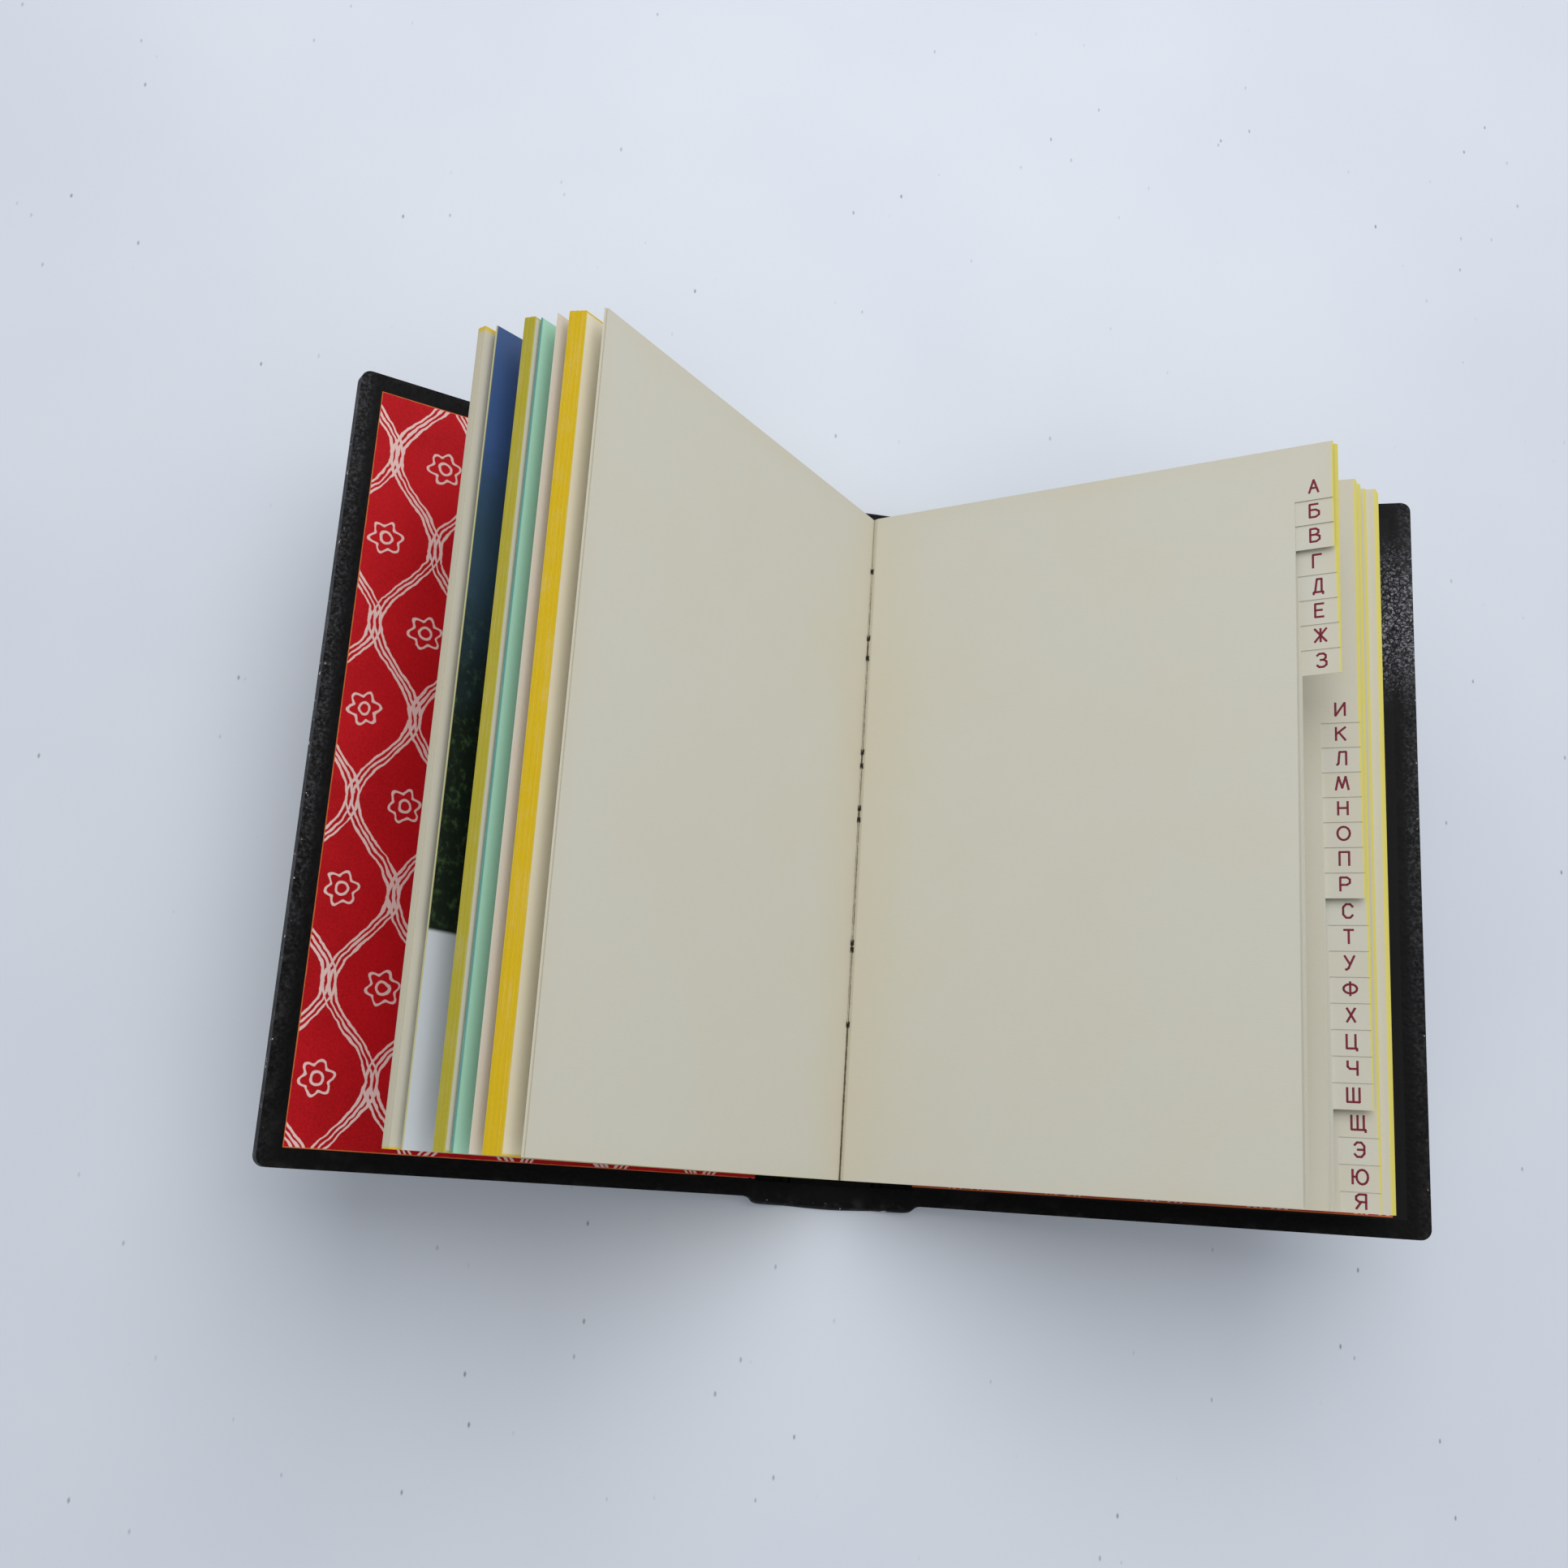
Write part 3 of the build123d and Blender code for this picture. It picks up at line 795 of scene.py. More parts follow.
@dataclass(frozen=True)
class FoldFinish(Finish):
    """Paper of the sewn folds, with painted shade down the open crease and in the needle holes."""

    crease: float
    holes: tuple[float, ...]
    paper: Colour = paint(203, 198, 178)
    # Colour of the painted crease shade.
    darker_tone: Colour = paint(120, 109, 88)
    hole_shade: Colour = paint(52, 45, 36)
    line_width: Span = (0.22, 0.12)
    hole_width: Span = (0.4, 0.28)
    hole_length: Span = (0.75, 0.45)
    open_height: Span = (6.5, 7.0)
    shade_fade_head: Span = (62.0, 50.0)

    def wire(self, wiring: Wiring, effects: Effects) -> None:
        """Adds the nodes of the folded paper.

        Args:
            wiring: The material's nodes.
            effects: The shared effects.
        """
        fibre = wiring.group(effects.fibre)
        across, along, up = wiring.split(wiring.place())
        ragged = wiring.group(effects.fray, {"Scale": 0.9}).outputs["Shift"]
        near = wiring.plus(wiring.apart(across, self.crease), ragged)
        opened = wiring.ease(up, *self.open_height)
        # Painted shade: a dark line down the open crease, where shade falls, fainter towards the head.
        line = wiring.times(wiring.ease(near, *self.line_width), opened)
        lower = wiring.scaled(wiring.ease(along, *self.shade_fade_head), 0.8, 0.2)
        crease_shaded = wiring.mix(wiring.times(line, lower), self.paper, self.darker_tone)
        # Painted shade: dark spots in the needle holes at the ends of the stitches.
        marks = [wiring.ease(wiring.apart(along, spot), *self.hole_length) for spot in self.holes]
        shaded_holes = wiring.times(wiring.most(*marks), wiring.ease(near, *self.hole_width))
        colour = wiring.mix(wiring.times(shaded_holes, opened), crease_shaded, self.hole_shade)
        shade_paper(wiring, fibre, colour, (0.2, 0.65), (0.35, 0.05))


@dataclass(frozen=True)
class TableFinish(Finish):
    """A pale table top with faint clouds and sparse specks."""

    name: str = "table_top"
    clean: Colour = paint(213, 219, 228)
    darker_tone: Colour = paint(209, 215, 225)
    speck: Colour = paint(138, 141, 150)

    def wire(self, wiring: Wiring, effects: Effects) -> None:
        """Adds the nodes of the table top.

        Args:
            wiring: The material's nodes.
            effects: The shared effects; not used here.
        """
        cloud = wiring.cloud(0.012, 3.0, 0.5)
        pale = wiring.mix(wiring.ease(cloud, 0.3, 0.7), self.clean, self.darker_tone)
        patchy = wiring.ease(wiring.cloud(0.05, 3.0, 0.6), 0.42, 0.62)
        dots = wiring.ease(wiring.cells(wiring.place((1.0, 0.5, 1.0)), 0.2), 0.075, 0.02)
        colour = wiring.mix(wiring.times(dots, patchy), pale, self.speck)
        shade(wiring, {"Base Color": colour, "Roughness": wiring.scaled(cloud, 0.1, 0.35)})


def select_only(piece: Object) -> None:
    """Leaves one piece selected and active.

    Args:
        piece: The piece.
    """
    bpy.ops.object.select_all(action="DESELECT")
    piece.select_set(True)
    bpy.context.view_layer.objects.active = piece


def settle(piece: Object, name: str) -> Object:
    """Puts a piece's place into its mesh and names both.

    Args:
        piece: The piece.
        name: Its name.

    Returns:
        The piece.
    """
    select_only(piece)
    bpy.ops.object.transform_apply(location=True, rotation=True, scale=True)
    piece.name = name
    piece.data.name = name
    return piece


def unite(pieces: list[Object], name: str) -> Object:
    """Joins pieces that move together.

    Args:
        pieces: The pieces.
        name: The joined piece's name.

    Returns:
        The joined piece.
    """
    select_only(pieces[0])
    for piece in pieces[1:]:
        piece.select_set(True)
    if len(pieces) > 1:
        bpy.ops.object.join()
    return settle(bpy.context.view_layer.objects.active, name)


def pull_strip(path: list[Vector], foot: float, head: float) -> Object:
    """Pulls one edge of a new plane along a path seen from the tail of the book.

    Args:
        path: Points across and up, in millimetres.
        foot: Lower end along the spine, in millimetres.
        head: Upper end along the spine, in millimetres.

    Returns:
        The strip, as thin as a plane.
    """
    height = (head - foot) * MM
    begin = path[0] * MM
    bpy.ops.object.select_all(action="DESELECT")
    middle = (begin.x + height / 2, (foot + head) / 2 * MM, begin.y)
    bpy.ops.mesh.primitive_plane_add(size=height, location=middle)
    strip = settle(bpy.context.object, "strip")
    bpy.ops.object.mode_set(mode="EDIT")
    bpy.ops.mesh.select_all(action="DESELECT")
    cage = bmesh.from_edit_mesh(strip.data)
    for vert in cage.verts:
        vert.select_set(vert.co.x > begin.x + height / 2)
    bmesh.update_edit_mesh(strip.data)
    bpy.ops.mesh.delete(type="VERT")
    bpy.ops.mesh.select_all(action="SELECT")
    for here, there in zip(path, path[1:]):
        step = (there - here) * MM
        bpy.ops.mesh.extrude_region_move(TRANSFORM_OT_translate={"value": (step.x, 0.0, step.y)})
    bpy.ops.object.mode_set(mode="OBJECT")
    return strip


def thicken(piece: Object, thickness: float) -> None:
    """Gives a sheet its thickness, half to each side.

    Args:
        piece: The sheet.
        thickness: Its thickness in millimetres.
    """
    select_only(piece)
    wall = piece.modifiers.new("wall", "SOLIDIFY")
    wall.thickness = thickness * MM
    wall.offset = 0.0
    wall.use_even_offset = True
    bpy.ops.object.modifier_apply(modifier=wall.name)
    bpy.ops.object.mode_set(mode="EDIT")
    bpy.ops.mesh.select_all(action="SELECT")
    bpy.ops.mesh.normals_make_consistent(inside=False)
    bpy.ops.object.mode_set(mode="OBJECT")
    bpy.ops.object.shade_smooth_by_angle(angle=SMOOTH_ANGLE)


def new_curve(radius: float, rounding: int) -> Curve:
    """Starts a round line with closed ends.

    Args:
        radius: Half of its thickness, in millimetres.
        rounding: How finely it is rounded.

    Returns:
        The curve, still without points.
    """
    curve = bpy.data.curves.new("line", "CURVE")
    curve.dimensions = "3D"
    curve.bevel_depth = radius * MM
    curve.bevel_resolution = rounding
    curve.use_fill_caps = True
    return curve


def curve_piece(curve: Curve) -> Object:
    """Turns a drawn curve into a mesh, left active.

    Args:
        curve: The curve.

    Returns:
        The new piece.
    """
    line = bpy.data.objects.new("line", curve)
    bpy.context.scene.collection.objects.link(line)
    select_only(line)
    bpy.ops.object.convert(target="MESH")
    return bpy.context.object


def dress(piece: Object, material: Material) -> Object:
    """Gives a new piece its material.

    Args:
        piece: The piece.
        material: Its material.

    Returns:
        The piece.
    """
    piece.data.materials.clear()
    piece.data.materials.append(material)
    return piece


def coat(node: str, material: Material) -> None:
    """Gives a piece of the frame a better material.

    Args:
        node: The piece's name.
        material: Its material.
    """
    piece = frame["nodes"][node]
    if not piece.material_slots:
        piece.data.materials.append(material)
    for place in piece.material_slots:
        place.material = material
    log.info("coated %s", node)


@dataclass(frozen=True)
class Seat:
    """The bend line of a group of leaves, read from its hinge."""

    body: str
    base: str
    side: Side
    x: float
    z: float
    lean: float
    zone: float

    @classmethod
    def of(cls, body: str, zone: float) -> "Seat":
        """Reads the hinge of a group.

        Args:
            body: The group's body.
            zone: Length of the bend above the hinge, in millimetres.

        Returns:
            The seat.
        """
        rows = {row["child"]: row for row in frame["joints"]}
        own = rows[body]
        fan = own
        while fan["parent"] != "spine":
            fan = rows[fan["parent"]]
        side = Side.LEFT if fan["axis"][1] < 0 else Side.RIGHT
        x, _y, z = (value / MM for value in own["pos_m"])
        return cls(body, own["parent"], side, x, z, math.radians(-fan["range_deg"][0]), zone)

    def turned(self, aside: float, reach: float, share: float) -> Vector:
        """Turns a point of the closed book about the bend line by a share of the lean.

        Args:
            aside: Millimetres from the bend line towards the back cover, in the closed book.
            reach: Millimetres above the bend line, in the closed book.
            share: Share of the lean, 0 to 1.

        Returns:
            The point, across and up.
        """
        angle = self.lean * share * self.side.value
        across = aside * math.cos(angle) + reach * math.sin(angle)
        up = reach * math.cos(angle) - aside * math.sin(angle)
        return Vector((self.x + across, self.z + up))

    def rest(self, aside: float, reach: float) -> Vector:
        """Finds where a point of a leaf lies in the open book.

        A leaf that lies on another one starts flat at its bend line.

        Args:
            aside: Millimetres from the bend line towards the back cover, in the closed book.
            reach: Millimetres above the bend line, in the closed book.

        Returns:
            The point, across and up.
        """
        if self.base != "spine":
            return self.turned(aside, reach, 1.0)
        outward = self.turned(0.0, 1.0, 1.0) - Vector((self.x, self.z))
        share = min(max(reach / self.zone, 0.0), 1.0)
        for _round in range(BEND_ROUNDS):
            point = self.turned(aside, reach, share)
            along = (point - Vector((self.x, self.z))).dot(outward) / self.zone
            part = min(max(along, 0.0), 1.0)
            share = part * part * (3 - 2 * part)
        return self.turned(aside, reach, share)

    def length_of(self, node: str, half: float) -> float:
        """Finds how far a group reaches from its bend line to its fore-edge.

        Args:
            node: A piece of the frame that has the group's full width.
            half: Half of the group's thickness, in millimetres.

        Returns:
            The length in millimetres.
        """
        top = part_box(node)[1].z / MM
        return (top - self.z - half * math.sin(self.lean)) / math.cos(self.lean)

    def bend(self, piece: Object) -> Object:
        """Bakes a finished piece's place into its mesh, without bending it.

        Args:
            piece: The piece.

        Returns:
            The piece.
        """
        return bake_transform(piece)


@dataclass
class SheetMaker:
    """Makes single leaves on a seat."""

    tab_width: float = 7.0
    fold_height: float = 3.0
    bend_steps: int = 8
    flat_steps: int = 5
    edge_strip: float = 0.3

    def reaches(self, seat: Seat, length: float) -> list[float]:
        """Lists the places along a leaf where it is divided.

        Args:
            seat: The leaf's seat.
            length: Length from the bend line to the fore-edge.

        Returns:
            Places in millimetres above the bend line.
        """
        root = self.fold_height - seat.z
        places = [root, root / 2] if seat.base == "spine" else []
        places += [seat.zone * step / self.bend_steps for step in range(self.bend_steps + 1)]
        flat = length - self.tab_width - seat.zone
        places += [seat.zone + flat * step / self.flat_steps for step in range(1, self.flat_steps + 1)]
        return places + [length - self.edge_strip, length]

    def make(
        self,
        seat: Seat,
        aside: float,
        length: float,
        thickness: float,
        tone: float,
        cut: float | None = None,
    ) -> Object:
        """Makes one leaf, with its outer strip cut away below a height where one is given.

        Args:
            seat: The leaf's seat.
            aside: Place in the group, in millimetres towards the back cover.
            length: Length from the bend line to the fore-edge.
            thickness: The leaf's thickness.
            tone: How aged the leaf is, 0 to 1.
            cut: Height along the spine below which the outer strip is cut away.

        Returns:
            The leaf.
        """
        places = self.reaches(seat, length)
        path = [seat.rest(aside, place) for place in places]
        leaf = pull_strip(path, PAGE_FOOT, PAGE_HALF)
        if cut is not None and cut > PAGE_FOOT:
            self.cut_back(leaf, path, cut)
        thicken(leaf, thickness)
        self.note(leaf, path, [max(place, 0.0) / length for place in places], tone)
        return leaf

    def cut_back(self, leaf: Object, path: list[Vector], cut: float) -> None:
        """Cuts the strip under a thumb tab off a leaf.

        Args:
            leaf: The leaf, before it has a thickness.
            path: Its line from the fold to the fore-edge.
            cut: The tab's lower edge, in millimetres along the spine.
        """
        select_only(leaf)
        bpy.ops.object.mode_set(mode="EDIT")
        bpy.ops.mesh.select_all(action="SELECT")
        bpy.ops.mesh.bisect(plane_co=(0.0, cut * MM, 0.0), plane_no=(0.0, 1.0, 0.0))
        bpy.ops.mesh.select_all(action="DESELECT")
        tab, _strip, edge = path[-3:]
        outward = (edge - tab).normalized()
        cage = bmesh.from_edit_mesh(leaf.data)
        for face in cage.faces:
            middle = face.calc_center_median()
            beyond = (Vector((middle.x, middle.z)) - tab * MM).dot(outward)
            face.select_set(beyond > 0.0 and middle.y < cut * MM)
        bmesh.update_edit_mesh(leaf.data)
        bpy.ops.mesh.delete(type="FACE")
        bpy.ops.object.mode_set(mode="OBJECT")

    @staticmethod
    def note(leaf: Object, path: list[Vector], shares: list[float], tone: float) -> None:
        """Keeps on each point its share of the leaf's width and the leaf's tone.

        Args:
            leaf: The leaf.
            path: Its line from the fold to the fore-edge.
            shares: How far out each point of the line is, 0 to 1.
            tone: How aged the leaf is.
        """
        reach = leaf.data.attributes.new("reach", "FLOAT", "POINT")
        toned = leaf.data.attributes.new("tone", "FLOAT", "POINT")
        for vert in leaf.data.vertices:
            here = Vector((vert.co.x, vert.co.z)) / MM
            nearest = min(range(len(path)), key=lambda spot: (path[spot] - here).length_squared)
            reach.data[vert.index].value = shares[nearest]
            toned.data[vert.index].value = tone


@dataclass(frozen=True)
class Pack:
    """A group of plain leaves that moves as one; the last of its nodes has the full width."""

    body: str
    nodes: tuple[str, ...]
    half: float
    sheets: int
    zone: float
    finish: Finish
    slot: str = "cream_paper"
    slant: float = 0.0


CREAM = PaperFinish("cream_page")
TIPPED = PaperFinish("tipped_cream", dye=Dye.HEAD_TIPS)
# The olive edge colour is the yellow edge dye darkened by painted shade, as the notes' edges lie in
# shade.
OLIVE = PaperFinish("olive_edged_cream", dye=Dye.OLIVE, edge_colour=paint(184, 172, 40))
# Its paper is a lighter copy of the cream: painted light that lifts this pack's strip out of the open
# leaf's shadow.
BRIGHT = PaperFinish("yellow_edged_cream", paint(236, 229, 207), paint(226, 211, 174), Dye.BRIGHT)
INDEXED = PaperFinish("index_cream", dye=Dye.THIN, edge_colour=paint(220, 208, 92))
ROSY = PaperFinish("rosy_cream", colour=paint(220, 211, 198), warm=paint(212, 197, 174))
# The teal edge colour is painted shade, standing in for the shadowed edge of a second mint leaf.
MINT = PaperFinish("mint_page", paint(170, 218, 194), paint(164, 208, 180), Dye.THIN, paint(84, 148, 146))
# A slightly lighter copy of the cream: painted light that lifts the facing leaf out of the open leaf's
# shadow.
PALE = PaperFinish("pale_cream", colour=paint(211, 209, 196), warm=paint(210, 200, 174))

PACKS = (
    Pack("title_leaves", ("front_flyleaf", "title_section"), 0.95, 12, 2.5, TIPPED),
    Pack("plate_leaf", ("colour_plate",), 0.11, 1, 2.0, PlateFinish(), "printed_plate"),
    Pack("notes_leaves", ("notes_section",), 1.0, 12, 2.0, OLIVE, slant=0.5),
    Pack("divider_leaf", ("green_divider",), 0.09, 1, 2.0, MINT, "mint_paper"),
    Pack("plain_leaf", ("blank_leaf",), 0.07, 1, 2.0, ROSY),
    Pack("diary_leaves", ("diary_section",), 1.4, 16, 1.5, BRIGHT, slant=1.15),
    Pack("left_leaf", ("facing_leaf",), 0.07, 3, 1.0, PALE, slant=0.9),
    Pack("turning_leaf", ("open_leaf",), 0.07, 1, 1.6, CREAM),
)


class Palette:
    """Keeps one material for each finish."""

    def __init__(self) -> None:
        """Builds the shared effects."""
        self.effects = Effects()
        self.made: dict[str, Material] = {}

    def material(self, finish: Finish) -> Material:
        """Builds the material of a finish once.

        Args:
            finish: The finish.

        Returns:
            Its material.
        """
        if finish.name not in self.made:
            self.made[finish.name] = finish.material(self.effects)
        return self.made[finish.name]


def jitter(step: int, spread: float) -> float:
    """Gives an uneven but fixed amount between minus spread and plus spread.

    Args:
        step: A number that the amount depends on.
        spread: The largest amount.

    Returns:
        The amount.
    """
    quick_turn = 12.9898
    slow_turn = 2.3
    sway = 4.1414
    return spread * math.sin(quick_turn * step + sway * math.sin(slow_turn * step))


@dataclass
class TextBlock:
    """The plain leaves on the left of the gutter."""

    palette: Palette
    maker: SheetMaker
    fill: float = 0.8
    length_spread: float = 0.12
    slant_shift: float = 0.35
    single_tone: float = 0.25
    middle_tone: float = 0.5

    def build(self) -> None:
        """Builds each group."""
        for pack in PACKS:
            self.build_pack(pack)

    def build_pack(self, pack: Pack) -> None:
        """Builds one group of leaves.

        Args:
            pack: The group.
        """
        seat = Seat.of(pack.body, pack.zone)
        length = seat.length_of(pack.nodes[-1], pack.half)
        pitch = 2 * pack.half / pack.sheets
        leaves = []
        for number in range(pack.sheets):
            aside = -pack.half + pitch * (number + 0.5)
            longer = pack.slant * (self.slant_shift - aside / (2 * pack.half))
            thickness = pitch
            tone = self.single_tone
            if pack.sheets > 1:
                longer -= abs(jitter(number + len(pack.body), self.length_spread))
                thickness = pitch * self.fill
                tone = self.middle_tone + jitter(3 * number + 1, self.middle_tone)
            leaves.append(self.maker.make(seat, aside, length + longer, thickness, tone))
        piece = unite(leaves, pack.body + "_sheets")
        dress(piece, self.palette.material(pack.finish))
        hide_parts(*pack.nodes)
        seat.bend(piece)
        log.info("built %s", piece.name)


def oval(left: float, right: float, low: float = 0.0, high: float = 6.0) -> tuple:
    """Draws the round part of a letter as a closed ring of points.

    Args:
        left: Its left side, in letter units.
        right: Its right side.
        low: Its lower side.
        high: Its upper side.

    Returns:
        The points, the first again at the end.
    """
    sides = 16
    turns = [math.tau * step / sides for step in range(sides + 1)]
    middle = ((left + right) / 2, (low + high) / 2)
    wide = (right - left) / 2
    tall = (high - low) / 2
    return tuple((middle[0] + wide * math.sin(turn), middle[1] + tall * math.cos(turn)) for turn in turns)


STROKES: dict[str, tuple] = {
    "А": (((0, 0), (2, 6), (4, 0)), ((0.8, 2.2), (3.2, 2.2))),
    "Б": (((3.6, 6), (0, 6), (0, 0), (2.6, 0), (4, 0.9), (4, 2.5), (2.6, 3.4), (0, 3.4)),),
    "В": (
        ((0, 0), (0, 6), (2.4, 6), (3.5, 5.2), (3.5, 4), (2.4, 3.2), (0, 3.2)),
        ((2.4, 3.2), (4, 2.4), (4, 0.9), (2.6, 0), (0, 0)),
    ),
    "Г": (((0, 0), (0, 6), (3.6, 6)),),
    "Д": (((0, -1), (0, 0), (4, 0), (4, -1)), ((0.6, 0), (1.4, 6), (3.4, 6), (3.4, 0))),
    "Е": (((3.6, 6), (0, 6), (0, 0), (3.6, 0)), ((0, 3.1), (3, 3.1))),
    "Ж": (((0, 6), (2.5, 3), (0, 0)), ((5, 6), (2.5, 3), (5, 0)), ((2.5, 0), (2.5, 6))),
    "З": (
        ((0, 5.2), (1, 6), (2.8, 6), (3.7, 5.2), (3.7, 4), (2.8, 3.2), (1.4, 3.2)),
        ((2.8, 3.2), (4, 2.3), (4, 0.9), (2.8, 0), (1, 0), (0, 0.9)),
    ),
    "И": (((0, 6), (0, 0), (4, 6), (4, 0)),),
    "К": (((0, 0), (0, 6)), ((4, 6), (0, 2.8)), ((1.2, 3.7), (4, 0))),
    "Л": (((0, 0), (0.7, 0.6), (1.2, 6), (4, 6), (4, 0)),),
    "М": (((0, 0), (1.2, 6), (2.7, 0.8), (4.2, 6), (5.4, 0)),),
    "Н": (((0, 0), (0, 6)), ((4, 0), (4, 6)), ((0, 3.1), (4, 3.1))),
    "О": (oval(0, 5.2),),
    "П": (((0, 0), (0, 6), (4, 6), (4, 0)),),
    "Р": (((0, 0), (0, 6), (2.8, 6), (4, 5.1), (4, 3.6), (2.8, 2.7), (0, 2.7)),),
    "С": (((4, 4.8), (2.9, 6), (1.2, 6), (0, 4.6), (0, 1.4), (1.2, 0), (2.9, 0), (4, 1.2)),),
    "Т": (((0, 6), (4, 6)), ((2, 6), (2, 0))),
    "У": (((0, 6), (2.1, 2.4)), ((4, 6), (1.6, 0.6), (0.9, 0), (0.3, 0))),
    "Ф": (((2.8, 0), (2.8, 6)), oval(0, 5.6, 1, 5)),
    "Х": (((0, 6), (3.4, 0)), ((3.4, 6), (0, 0))),
    "Ц": (((0, 6), (0, 0), (3.6, 0), (3.6, 6)), ((3.6, 0), (4.2, 0), (4.2, -1))),
    "Ч": (((0, 6), (0, 3.6), (0.9, 2.7), (4, 2.7)), ((4, 6), (4, 0))),
    "Ш": (((0, 6), (0, 0), (5, 0), (5, 6)), ((2.5, 0), (2.5, 6))),
    "Щ": (((0, 6), (0, 0), (5, 0), (5, 6)), ((2.5, 0), (2.5, 6)), ((5, 0), (5.7, 0), (5.7, -1))),
    "Э": (
        ((0, 4.8), (1.1, 6), (2.8, 6), (4, 4.6), (4, 1.4), (2.8, 0), (1.1, 0), (0, 1.2)),
        ((1.2, 3), (4, 3)),
    ),
    "Ю": (((0, 0), (0, 6)), ((0, 3), (1.6, 3)), oval(1.6, 6.2)),
    "Я": (((4, 0), (4, 6), (1.2, 6), (0, 5.1), (0, 3.8), (1.2, 2.9), (4, 2.9)), ((2, 2.9), (0, 0))),
}


@dataclass(frozen=True)
class IndexGroup:
    """Index leaves that move as one."""

    body: str
    first: int
    count: int
    half: float
    zone: float
    slant: float = 0.0


INDEX_GROUPS = (
    IndexGroup("last_index", 25, 4, 1.675, 3.0, 0.06),
    IndexGroup("third_index", 17, 8, 0.58, 2.0, 0.04),
    IndexGroup("second_index", 9, 8, 0.58, 2.0, 0.04),
    IndexGroup("first_index", 4, 5, 0.355, 0.6, 0.1),
    IndexGroup("third_letter", 3, 1, 0.055, 0.8),
    IndexGroup("second_letter", 2, 1, 0.055, 1.6),
    IndexGroup("first_letter", 1, 1, 0.055, 1.6),
)


